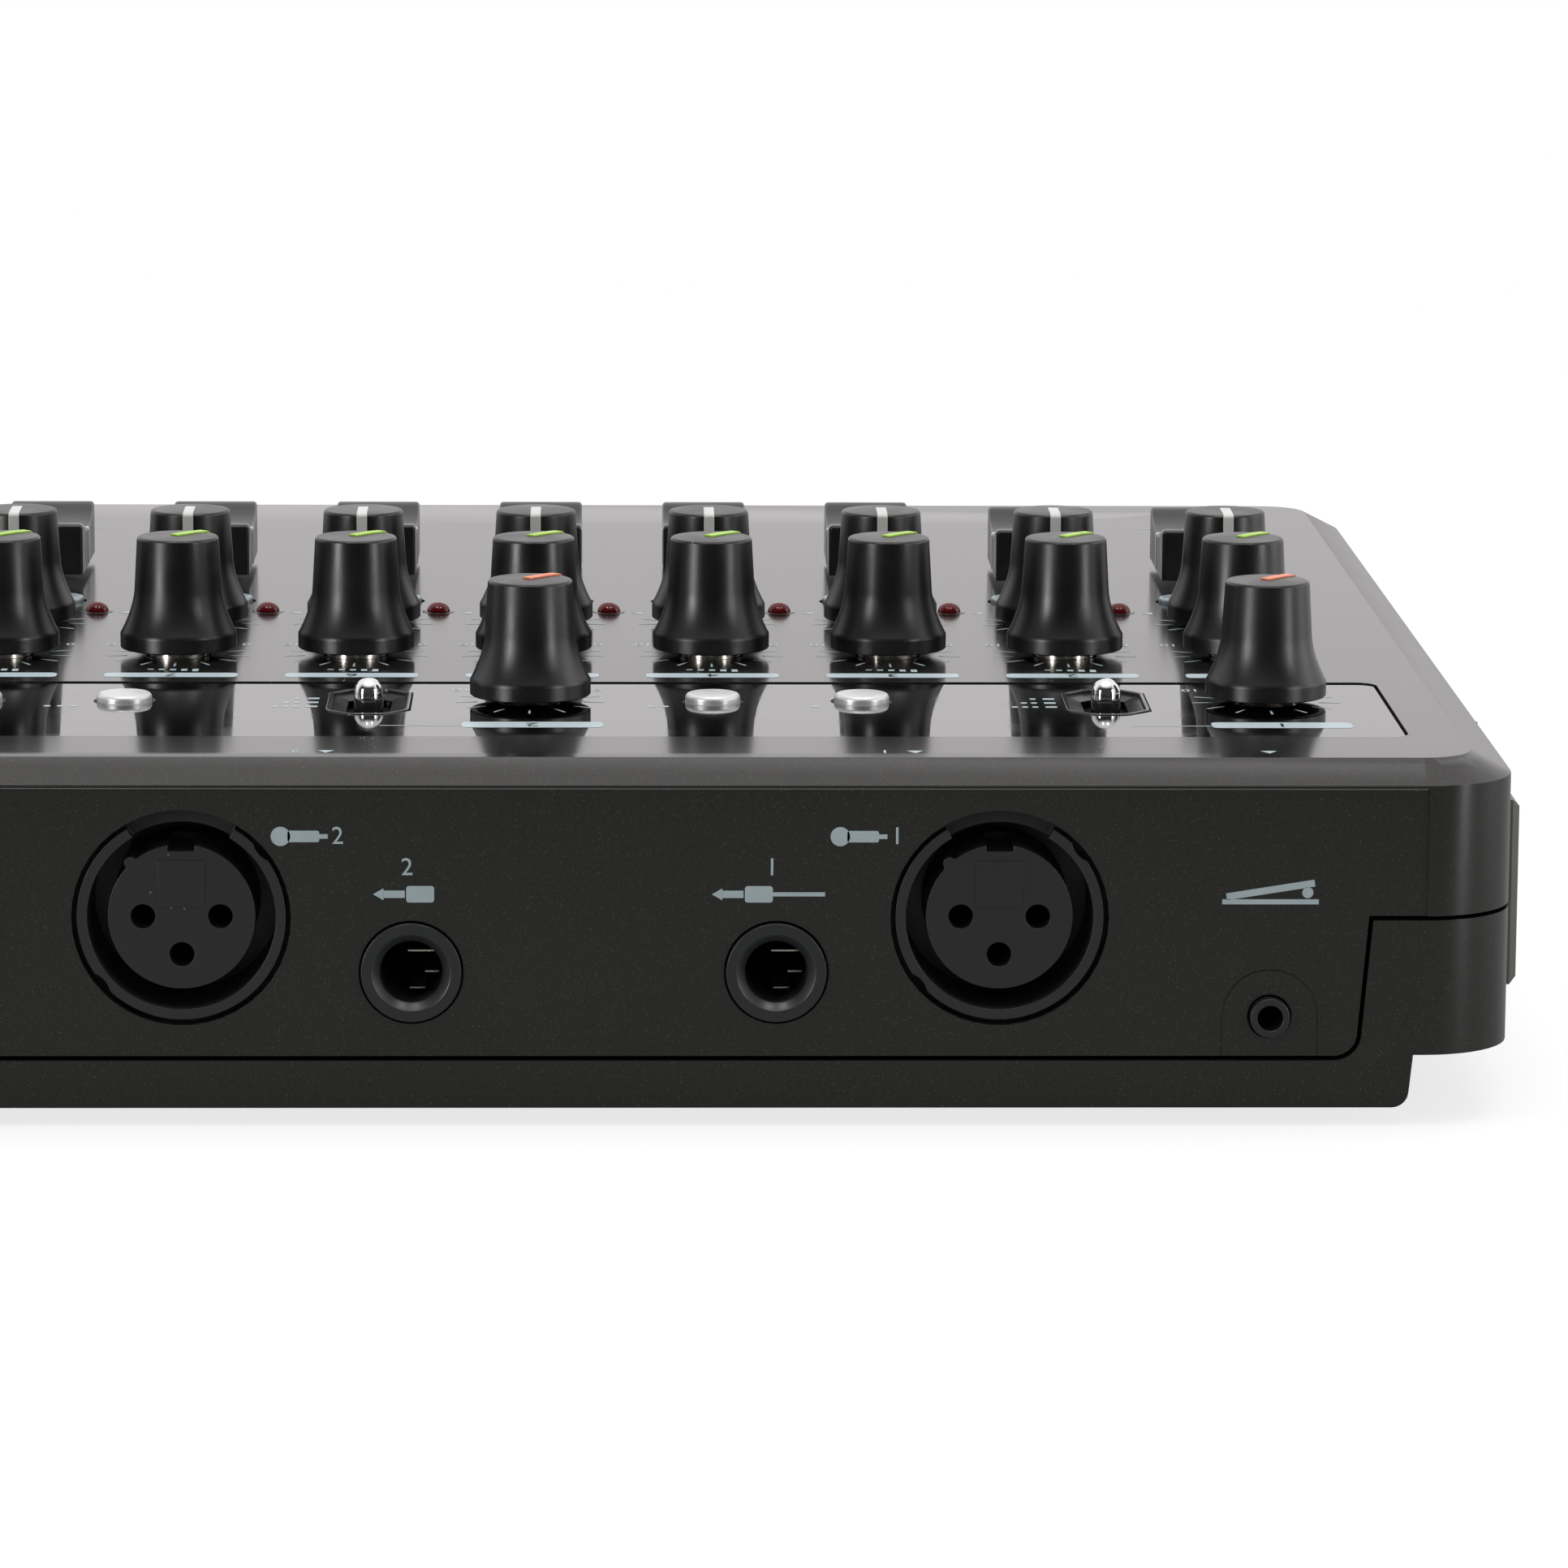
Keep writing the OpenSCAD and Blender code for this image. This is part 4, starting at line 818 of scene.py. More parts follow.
class RECORDER_OT_panel(bpy.types.Operator):
    """Dress the glossy panel, with its cut edge painted pale as a painted highlight, and narrowed lever openings
    """

    bl_idname = "recorder.panel"
    bl_label = "Glossy panel"

    def execute(self, context):
        look = context.scene.recorder_case
        half_w, half_d = 6 * MM, 11 * MM
        narrowing = (0.94, 0.88, 1)
        held_y = 4.17 * MM
        piece = dressed("input_panel", "gloss_panel")
        begin_edit(piece)
        pick_faces(piece, lambda place, normal: normal.z > 0.999)
        bpy.ops.transform.translate(value=(0, 0, PANEL_RAISE))
        end_edit()
        for x, y in LEVERS.values():
            begin_edit(piece)
            pick_faces(piece, lambda place, normal: upright(place, normal)
                       and abs(place.x - x) < half_w and abs(place.y - y) < half_d)
            bpy.ops.transform.resize(value=narrowing, center_override=(x, y + held_y, PANEL))
            end_edit()
        round_edges(piece, look.small_edge, 2, anywhere, SHARP)
        paint_faces(piece, ("gloss_acrylic", "acrylic_edge"), upright)
        delivered(piece, "case", "gloss_acrylic", ["input_panel"], 30.0)
        return {"FINISHED"}


# Knobs


def knob_stations(look):
    """Side of a knob from the hollow under it, round the skirt and up the flare to the top."""
    hollow_r, hollow_h = look.skirt_r - 0.9 * MM, 2.4 * MM
    lip = 0.12 * MM
    crown = 0.08 * MM
    rows, curve = 14, 1.85
    stations = [(hollow_r, hollow_h), (hollow_r, 0.25 * MM), (hollow_r + 0.2 * MM, 0.0)]
    stations += [(look.skirt_r - lip, 0.0), (look.skirt_r, lip), (look.skirt_r, look.skirt_h - lip)]
    taper = (look.top_r - look.neck_r) / (look.height - look.neck_h)
    spread = look.skirt_r - look.neck_r - taper * (look.skirt_h - look.neck_h)
    for i in range(rows + 1):
        u = i / rows
        z = look.skirt_h + (look.neck_h - look.skirt_h) * u
        stations.append((look.neck_r + taper * (z - look.neck_h) + spread * (1 - u) ** curve, z))
    stations += fillet(look.top_r, look.height, look.rounding)
    stations.append((look.top_r * 0.5, look.height + crown))
    return stations


def pointer_ribbon(look):
    """Raised pointer: a strip laid over the top of a knob and down its side, towards +Y."""
    tail = 0.55 * MM
    lowest = look.neck_h - 0.4 * MM
    route = [(r, z) for r, z in reversed(knob_stations(look)) if z > lowest]
    reach, level = route[0]
    only(None)
    bpy.ops.mesh.primitive_plane_add(size=1, location=(0, 0, 0))
    piece = just_added("pointer")
    piece.scale = (look.pointer_w, tail + reach, 1)
    piece.location = (0, (reach - tail) / 2, level)
    fix_place()
    begin_edit(piece, "EDGE")
    mesh = bmesh.from_edit_mesh(piece.data)
    for edge in mesh.edges:
        edge.select_set(all(abs(v.co.y - reach) < 0.001 * MM for v in edge.verts))
    bmesh.update_edit_mesh(piece.data)
    for (r0, z0), (r1, z1) in zip(route, route[1:]):
        draw_out(0, r1 - r0, z1 - z0)
    close_shape()
    applied(piece, "SOLIDIFY", thickness=2 * look.pointer_t, offset=0.0)
    round_edges(piece, 0.1 * MM, 2, anywhere, 50.0)
    return piece


KNOB_KINDS = (
    ("trim_knob_a", "orange"), ("trim_knob_b", "orange"), ("level_knob", "white"),
    *((f"reverb_knob_{i + 1}", "green") for i in range(TRACKS)),
    *((f"pan_knob_{i + 1}", "white") for i in range(TRACKS)),
)
POINTER_LOW = math.radians(140)
SEATS = {"trim": PANEL + 0.85 * MM, "reverb": TOP + 1.0 * MM, "pan": TOP + 0.8 * MM, "level": TOP + 1.0 * MM}


class RECORDER_OT_knobs(bpy.types.Operator):
    """Model one knob and its pointer, and set a copy on every spindle"""

    bl_idname = "recorder.knobs"
    bl_label = "Knobs"

    def execute(self, context):
        look = context.scene.recorder_knobs
        knob = turned("knob", knob_stations(look), look.sides)
        mark = pointer_ribbon(look)
        for node, colour in KNOB_KINDS:
            place = (*joint_place(node), SEATS[node.split("_")[0]])
            turn = (0.0, 0.0, 0.0 if "pan" in node else POINTER_LOW)
            cap = settle(copied(knob, node + "_cap"), place, turn)
            delivered(cap, node, "knob_black", [node])
            line = settle(copied(mark, node + "_pointer"), place, turn)
            delivered(line, node, "pointer_" + colour)
        discard(knob, mark)
        return {"FINISHED"}


# Faders


FADERS = [f"track_fader_{i + 1}" for i in range(TRACKS)] + ["master_fader"]


def saddle(length, dip, rear, front):
    """Places [y, z] along the top of a fader cap: rear crest, finger hollow and the higher front crest."""
    rear_crest_at, front_crest_at = 0.80, 0.83
    reach = length / 2
    rows = 28
    route = []
    for i in range(rows + 1):
        y = reach - length * i / rows
        crest, at = (rear, rear_crest_at) if y > 0 else (front, front_crest_at)
        route.append((y, dip + (crest - dip) * min(1.0, abs(y) / (reach * at)) ** 2))
    return route


def fader_cap(name, wide, route, foot):
    """A fader cap about the origin: a strip of rows lifted to the saddle, then drawn down to a flat foot."""
    only(None)
    length = route[0][0] - route[-1][0]
    bpy.ops.mesh.primitive_grid_add(x_subdivisions=1, y_subdivisions=len(route) - 1, size=1)
    piece = just_added(name)
    piece.scale = (wide, length, 1)
    fix_place()
    begin_edit(piece, "VERT")
    for y, z in route:
        bpy.ops.mesh.select_all(action="DESELECT")
        mesh = bmesh.from_edit_mesh(piece.data)
        for vert in mesh.verts:
            vert.select_set(abs(vert.co.y - y) < 0.01 * MM)
        bmesh.update_edit_mesh(piece.data)
        bpy.ops.transform.translate(value=(0, 0, z))
    bpy.ops.mesh.select_mode(type="FACE")
    bpy.ops.mesh.select_all(action="SELECT")
    draw_out(0, 0, -1 * MM)
    bpy.ops.transform.resize(value=(1, 1, 0), center_override=(0, 0, foot))
    close_shape()
    round_edges(piece, 0.45 * MM, 4, lambda place: place.z > foot + 0.1 * MM, 40.0)
    return piece


class RECORDER_OT_faders(bpy.types.Operator):
    """Model the fader cap with its stem and index line, and set a copy on every slot"""

    bl_idname = "recorder.faders"
    bl_label = "Faders"

    def execute(self, context):
        foot = TOP + 1.0 * MM
        hollow = 1.7 * MM
        front_rise = 0.2 * MM
        stem_w, stem_d = 1.0 * MM, 4.0 * MM
        line_w, line_proud = 1.0 * MM, 0.03 * MM
        low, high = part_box(FADERS[0])
        wide, length = high.x - low.x, high.y - low.y
        dip = high.z - hollow
        cap = fader_cap("cap", wide, saddle(length, dip, high.z, high.z + front_rise), foot)
        stem = block("stem", (stem_w, stem_d, foot - low.z), (0, 0, (foot + low.z) / 2))
        round_edges(stem, 0.15 * MM)
        cap = joined("cap", [cap, stem])
        line = block("line", (wide + 0.14 * MM, line_w, dip - foot), (0, 0, (dip + foot) / 2 + line_proud))
        round_edges(line, 0.35 * MM, 3, lambda place: place.z > dip)
        for node in FADERS:
            place = (*middle(node).xy, 0)
            delivered(settle(copied(cap, node + "_cap"), place), node, "fader_black", [node])
            delivered(settle(copied(line, node + "_line"), place), node, "pointer_white")
        discard(cap, line)
        return {"FINISHED"}


# Levers


def octagon(name, wide, tall, corner, low, high):
    """An eight-sided upright block with rounded corners."""
    level = (low + high) / 2
    piece = block(name, (wide, tall, high - low), (0, 0, level))
    for width, segments in ((corner, 1), (0.9 * MM, 4)):
        round_edges(piece, width, segments, lambda place: abs(place.z - level) < 0.1 * MM)
    return piece


class RECORDER_OT_levers(bpy.types.Operator):
    """Turn the chrome levers and their black collars, and frame their openings"""

    bl_idname = "recorder.levers"
    bl_label = "Levers"

    def execute(self, context):
        radius = 1.65 * MM
        neck = radius - 0.35 * MM
        collar = PANEL + 0.27 * MM
        sink = 0.87 * MM
        lever_back, bezel_back = 1.2 * MM, 0.5 * MM
        rim = PANEL + 0.14 * MM
        rim_w, rim_drop = 0.6 * MM, 0.45 * MM
        dish_w, dish_drop = 1.65 * MM, 0.5 * MM
        outline = (9.45 * MM, 17.5 * MM, 2.8 * MM)
        for node, (x, y) in LEVERS.items():
            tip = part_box(node)[1].z - sink
            stem = [(neck, POCKET + 0.1 * MM), (neck, collar - 0.2 * MM), (radius, collar)]
            stem += fillet(radius, tip, radius * 0.999, 10)
            bullet = settle(turned(node + "_bullet", stem, 48), (x, y + lever_back, 0))
            delivered(bullet, node, "chrome", [node], 60.0)
            side = [(radius, POCKET + 0.4 * MM), (radius, collar - 0.1 * MM)]
            side += [(radius - 0.1 * MM, collar - 0.02 * MM)]
            sleeve = settle(turned(node + "_collar", side, 48), (x, y + lever_back, 0))
            delivered(sleeve, node, "bezel_black")
            bezel = octagon(node + "_bezel", *outline, POCKET + 0.02 * MM, rim)
            begin_edit(bezel)
            pick_faces(bezel, lambda place, normal: normal.z > 0.9)
            bpy.ops.mesh.inset(thickness=rim_w)
            draw_out(0, 0, -rim_drop)
            bpy.ops.mesh.inset(thickness=dish_w, depth=-dish_drop)
            bpy.ops.mesh.delete(type="FACE")
            end_edit()
            round_edges(bezel, 0.18 * MM, 3, lambda place: place.z > rim - 0.05 * MM, 50.0)
            settle(bezel, (x, y + bezel_back, 0))
            delivered(bezel, "case", "bezel_black")
        return {"FINISHED"}


# Buttons and keys


class RECORDER_OT_buttons(bpy.types.Operator):
    """Turn the round buttons, and dress the pill keys and the transport keys"""

    bl_idname = "recorder.buttons"
    bl_label = "Buttons and keys"

    def execute(self, context):
        radius = 3.1 * MM
        sunk = 0.15 * MM
        pill_drop = 0.85 * MM
        key_round = 0.4 * MM
        for i in range(4):
            node = f"round_button_{i + 1}"
            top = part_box(node)[1].z - sunk
            side = [(radius, POCKET - 2.0 * MM), *fillet(radius, top - 0.12 * MM, 0.55 * MM, 5)]
            side += [(radius * 0.55, top - 0.03 * MM), (radius * 0.2, top)]
            piece = settle(turned(node + "_cap", side, 56), (*middle(node).xy, 0))
            delivered(piece, node, "silver_paint", [node], 50.0)
        for node in ("record_key_strip", "menu_key_strip"):
            piece = dressed(node, node + "_caps")
            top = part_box(node)[1].z
            begin_edit(piece)
            pick_faces(piece, lambda place, normal: normal.z > 0.999 and place.z > top - 0.05 * MM)
            bpy.ops.transform.translate(value=(0, 0, -pill_drop))
            end_edit()
            round_edges(piece, key_round, 3, lambda place: place.z > top - 1.0 * MM)
            delivered(piece, node, "pill_silver", [node])
        for i in range(5):
            node = f"transport_key_{i + 1}"
            piece = dressed(node, node + "_cap")
            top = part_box(node)[1].z
            round_edges(piece, key_round, 3, lambda place: place.z > top - 0.1 * MM)
            delivered(piece, node, "key_grey", [node])
        return {"FINISHED"}


# Sockets


def on_mic_ring(place, normal):
    """Whether a face is the front of a microphone socket's outer ring."""
    return normal.y > 0.9 and place.y > BACK_FACE - 0.5 * MM


def on_mic_flange(place, normal):
    """Whether a face is the flange behind a microphone socket's ring, which is painted near-black as shade in the
    gap behind the ring.
    """
    return normal.y > 0.9 and BACK_FACE - 3 * MM < place.y < BACK_FACE - 1.5 * MM


class RECORDER_OT_sockets(bpy.types.Operator):
    """Dress the sockets and the power button, and fit the contacts of the line jacks"""

    bl_idname = "recorder.sockets"
    bl_label = "Sockets"

    def execute(self, context):
        look = context.scene.recorder_case
        mic_edge = 0.22 * MM
        button_edge = 0.3 * MM
        blade_l, blade_t = 6 * MM, 0.28 * MM
        # Place across and above the middle of a jack, width and depth of each contact, in millimetres
        contacts = ((1.2, 1.6, 3.4, 4.0), (2.1, -0.9, 1.6, 5.0), (0.6, -2.3, 1.8, 3.0))
        for node in ("mic_sockets", "line_jacks", "remote_jack", "power_inlet"):
            piece = dressed(node, node + "_bodies", mic_edge if "mic" in node else look.small_edge, 3)
            if "mic" in node:
                # The flanges behind the rings are painted near-black as shade in the gap behind each ring
                paint_faces(piece, ("socket_black", "socket_ring", "joint_black"), on_mic_ring, on_mic_flange)
            material = "nose_grey" if "jack" in node else "socket_black"
            delivered(piece, "case", material, [node])
        piece = dressed("power_button", "power_button_cap", button_edge, 3)
        delivered(piece, "power_button", "key_grey", ["power_button"])
        blades = []
        for x, _, z in LINE_JACKS:
            for across, up, wide, depth in contacts:
                place = (x - across * MM, BACK_FACE - depth * MM - blade_l / 2, z + up * MM)
                blade = block("blade", (wide * MM, blade_l, blade_t), place)
                round_edges(blade, 0.1 * MM)
                blades.append(blade)
        delivered(joined("line_jack_contacts", blades), "case", "nickel")
        return {"FINISHED"}


class RECORDER_OT_socket_plates(bpy.types.Operator):
    """Raise the plain square on the insert of each microphone socket"""

    bl_idname = "recorder.socket_plates"
    bl_label = "Socket plates"

    def execute(self, context):
        side, thick = 5.1 * MM, 0.26 * MM
        face = BACK_FACE - 0.8 * MM
        above = 3.6 * MM
        plates = []
        for x, _, z in MIC_SOCKETS:
            plate = block("plate", (side, thick, side), (x, face, z + above))
            round_edges(plate, 0.1 * MM)
            plates.append(plate)
        delivered(joined("mic_insert_plates", plates), "case", "socket_black")
        return {"FINISHED"}


# Lamps


class RECORDER_OT_lamps(bpy.types.Operator):
    """Turn the lamp lenses, each in its dark ring"""

    bl_idname = "recorder.lamps"
    bl_label = "Lamps"

    def execute(self, context):
        lens_r, lens_h = 1.4 * MM, 1.2 * MM
        ring_r, ring_h = 1.95 * MM, 0.07 * MM
        seat = TOP - 0.05 * MM
        rows, sides = 11, 40
        dome = [math.pi / 2 * i / rows for i in range(1, rows)]
        side = [(lens_r, POCKET), (lens_r, TOP)]
        side += [(lens_r * math.cos(a), TOP + lens_h * math.sin(a)) for a in dome]
        ring_side = [(ring_r, seat), (ring_r, TOP + 0.03 * MM), (ring_r - 0.15 * MM, TOP + ring_h)]
        ring_side += [(lens_r + 0.02 * MM, TOP + ring_h), (lens_r, seat)]
        lens, ring = turned("lens", side, sides), turned("ring", ring_side, sides)
        lenses = [settle(copied(lens, "lens"), (x, y, 0)) for x, y in LAMPS]
        rings = [settle(copied(ring, "ring"), (x, y, 0)) for x, y in LAMPS]
        discard(lens, ring)
        delivered(joined("lamp_lenses", lenses), "case", "lamp_red", ["track_lamps"], 60.0)
        delivered(joined("lamp_rings", rings), "case", "bezel_black")
        return {"FINISHED"}


# Control block


class RECORDER_OT_wheel(bpy.types.Operator):
    """Turn the data wheel with its ribbed edge, and press in its finger dip"""

    bl_idname = "recorder.wheel"
    bl_label = "Data wheel"

    def execute(self, context):
        low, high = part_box("data_wheel")
        radius = (high.x - low.x) / 2
        spindle = 3.0 * MM
        foot, crown = TOP + 0.6 * MM, high.z
        top_drop = 0.3 * MM
        sides = 144
        rib_end, rib_edge, rib_depth = 1.2 * MM, 0.12 * MM, 0.3 * MM
        dip_r, dip_h, dip_rows = 6.2 * MM, 5.6 * MM, 16
        dip_out, dip_middle = 0.60 * radius, crown + 3.2 * MM
        pole = 0.02 * MM
        groove = radius - 0.2 * MM
        side = [(spindle, low.z), (spindle, foot), (radius - 0.6 * MM, foot), (groove, foot + 0.4 * MM)]
        side += [(groove, foot + 0.9 * MM), (radius, foot + 1.1 * MM), (radius, crown - 1.3 * MM)]
        side += [*fillet(radius - 0.1 * MM, crown, 1.0 * MM, 5), (radius - 3.2 * MM, crown)]
        side += [(radius - 3.5 * MM, crown - top_drop), (radius - 8 * MM, crown - top_drop)]
        wheel = turned("data_wheel_cap", side, sides)

        def every_other_rib(place, normal):
            at_edge = abs(normal.z) < 0.05 and place.xy.length > radius * 0.98
            between = foot + rib_end < place.z < crown - rib_end
            rib = round(math.atan2(place.y, place.x) * sides / (2 * math.pi) - 0.5)
            return bool(at_edge and between and rib % 2)

        begin_edit(wheel)
        pick_faces(wheel, every_other_rib)
        bpy.ops.mesh.inset(thickness=rib_edge, depth=-rib_depth, use_individual=True)
        end_edit()
        turns = [math.pi * i / dip_rows for i in range(dip_rows + 1)]
        ball = [(dip_r * math.sin(a) + pole, dip_middle - dip_h * math.cos(a)) for a in turns]
        dip = settle(turned("dip", ball, 48), (0, dip_out, 0))
        applied(wheel, "BOOLEAN", operation="DIFFERENCE", object=dip)
        discard(dip)
        settle(wheel, (*joint_place("data_wheel"), 0))
        delivered(wheel, "data_wheel", "wheel_black", ["data_wheel"], 35.0)
        return {"FINISHED"}


class RECORDER_OT_display(bpy.types.Operator):
    """Finish the display: window, glass and generic figures"""

    bl_idname = "recorder.display"
    bl_label = "Display"

    def execute(self, context):
        pane_edge = 0.1 * MM
        first, pitch = -24.5 * MM, 7.0 * MM
        step_w, step_t, step_pitch = 4.6 * MM, 0.8 * MM, 1.35 * MM
        rule_w, rule_t, rules_up = 55 * MM, 0.25 * MM, (1.8 * MM, -11.6 * MM)
        square, square_at = 4.4 * MM, -22 * MM
        arrow, arrow_at = 2.6 * MM, -15 * MM
        clock, clock_at = 7.0 * MM, 9 * MM
        numeral, numerals_up = 2.2 * MM, -13.0 * MM
        window = dressed("display_window", "window_pane", pane_edge)
        delivered(window, "case", "clear_window", ["display_window"])
        glass = dressed("lcd_module", "display_plate", pane_edge)
        delivered(glass, "case", "display_glass", ["lcd_module"])
        x, y = middle("display_window").xy
        upper, meters = y + 7.0 * MM, y - 10.5 * MM
        columns = [x + first + pitch * track for track in range(TRACKS)]
        marks = blank("marks")
        for track, column in enumerate(columns):
            lit = 3 + (track * 5 + 2) % 6
            for step in range(lit):
                flat_bar(column, meters + step_pitch * step, step_w, step_t)
        for up in rules_up:
            flat_bar(x, y + up, rule_w, rule_t)
        flat_bar(x + square_at, upper, square, square)
        flat_disc(x + arrow_at, upper, arrow, 3, POINT_RIGHT)
        end_edit()
        figures = [flat_text("00:00:00", clock, x + clock_at, upper)]
        figures += [flat_text(str(i + 1), numeral, at, y + numerals_up) for i, at in enumerate(columns)]
        inked("display_figures", [marks, *figures], "case", (0, 0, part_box("lcd_module")[1].z),
              material="ink_dark")
        return {"FINISHED"}


class RECORDER_OT_transport_signs(bpy.types.Operator):
    """Print the signs of the transport keys"""

    bl_idname = "recorder.transport_signs"
    bl_label = "Transport signs"

    def execute(self, context):
        arrow, dot, square = 1.9 * MM, 1.6 * MM, 3.0 * MM
        stop_key, record_key = 2, 4
        # Place across the key and turn of each arrow; the stop key has a square and the record key a dot
        arrows = (
            ((-1.3, POINT_LEFT), (1.5, POINT_LEFT)),
            ((-1.5, POINT_RIGHT), (1.3, POINT_RIGHT)),
            (),
            ((-0.4, POINT_RIGHT),),
            (),
        )
        for i, shapes in enumerate(arrows):
            node = f"transport_key_{i + 1}"
            x, y = middle(node).xy
            piece = blank("sign")
            for across, turn in shapes:
                flat_disc(x + across * MM, y, arrow, 3, turn)
            if i == stop_key:
                flat_bar(x, y, square, square)
            if i == record_key:
                flat_disc(x, y, dot, 32)
            end_edit()
            inked(node + "_sign", [piece], node, (0, 0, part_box(node)[1].z))
        return {"FINISHED"}


# Small fittings


class RECORDER_OT_fittings(bpy.types.Operator):
    """Finish the door, feet, screws and inner parts"""

    bl_idname = "recorder.fittings"
    bl_label = "Fittings"

    def execute(self, context):
        for node, name, body, material, edge in (
            ("card_door", "side_door", "card_door", "door_grey", 0.2),
            ("rubber_feet", "feet", "case", "rubber_black", 0.4),
            ("case_screws", "screws", "case", "screw_black", 0.1),
            ("rotary_pots", "bushings", "case", "nickel", 0.12),
        ):
            delivered(dressed(node, name, edge * MM), body, material, [node])
        for node in ("slide_pots", "panel_board", "main_board"):
            for slot in nodes[node].material_slots:
                slot.material = finish("board_green" if "board" in node else "nickel")
        return {"FINISHED"}


# Prints


def scale_ring():
    """Ticks round a knob, from its lowest to its highest setting."""
    ticks, tick_w = 11, 0.24 * MM
    inner, outer = 6.0 * MM, 8.4 * MM
    r = (inner + outer) / 2
    piece = blank("scale")
    for i in range(ticks):
        a = POINTER_LOW - 2 * POINTER_LOW * i / (ticks - 1)
        flat_bar(-r * math.sin(a), r * math.cos(a), tick_w, outer - inner, a)
    end_edit()
    return piece


def scale_ends(x, y):
    """Numerals at the two ends of a knob's scale."""
    numeral, down = 2.2 * MM, 7.7 * MM
    ends = (("0", -7.5), ("10", 7.9))
    return [flat_text(text, numeral, x + across * MM, y - down) for text, across in ends]


def fader_ladder():
    """Ticks on both sides of a fader's slot, with longer ones at its ends and middle."""
    steps, pitch, gap, tick_t = 11, 4.5, 1.7, 0.35
    short, long = 1.6, 2.4
    piece = blank("ladder")
    for i in range(steps):
        wide = short if i % 5 else long
        for side in (-1, 1):
            flat_bar(side * (gap + wide / 2) * MM, pitch * (5 - i) * MM, wide * MM, tick_t * MM)
    end_edit()
    return piece


def dot_row(x, y, count, pitch, radius):
    """A row of dots that counts a piece off, from a place on to the right."""
    for dot in range(count):
        flat_disc(x + pitch * dot * MM, y, radius * MM)


BAR_CORNER = 0.8 * MM


class RECORDER_OT_top_prints(bpy.types.Operator):
    """Print the strip bars, knob scales and fader ladders on the top plate"""

    bl_idname = "recorder.top_prints"
    bl_label = "Top prints"

    def execute(self, context):
        lift = context.scene.recorder_case.print_lift
        bar_up, bar_w, bar_d, numeral = 14.6 * MM, 15.3 * MM, 2.9 * MM, 2.9 * MM
        sign_up, sign_w, sign_first, sign_pitch = 10.4, 0.7 * MM, -2.6, 1.3
        fading = (1.5, 1.2, 0.9, 0.65, 0.4)
        pan_out, pan_down, pan_r = 8.4 * MM, 8.0 * MM, 0.8 * MM
        key_pitch, dot_pitch, dot_r, dots_up = 18, 1.7, 0.5, 5.2 * MM
        ladder_y = BACK - 155.5 * MM
        strips = [joint_place(f"reverb_knob_{i + 1}") for i in range(TRACKS)]
        ring, ladder = scale_ring(), fader_ladder()
        bars = blank("bars")
        for i, (x, y) in enumerate(strips):
            flat_bar(x, y + bar_up, bar_w, bar_d, 0.0, BAR_CORNER)
            for step, tall in enumerate(fading):
                across = (sign_pitch * step + sign_first) * MM
                flat_bar(x + across, y + (sign_up + tall / 2) * MM, sign_w, tall * MM)
            px, py = joint_place(f"pan_knob_{i + 1}")
            flat_disc(px - pan_out, py - pan_down, pan_r, 3, POINT_LEFT)
            flat_disc(px + pan_out, py - pan_down, pan_r, 3, POINT_RIGHT)
        x, y = middle("menu_key_strip").xy
        for i in range(4):
            first = key_pitch * (i - 1.5) - dot_pitch * i / 2
            dot_row(x + first * MM, y + dots_up, i + 1, dot_pitch, dot_r)
        end_edit()
        pieces = [bars]
        for node in [n for n, _ in KNOB_KINDS if "trim" not in n]:
            pieces.append(settle(copied(ring, "ring"), (*joint_place(node), 0)))
            if "pan" not in node:
                pieces += scale_ends(*joint_place(node))
        for node in FADERS:
            pieces.append(settle(copied(ladder, "ladder"), (middle(node).x, ladder_y, 0)))
        dark = [flat_text(str(i + 1), numeral, x, y + bar_up) for i, (x, y) in enumerate(strips)]
        discard(ring, ladder)
        inked("top_prints", pieces, "case", (0, 0, TOP))
        inked("strip_numerals", dark, "case", (0, 0, TOP + lift), material="ink_dark")
        return {"FINISHED"}


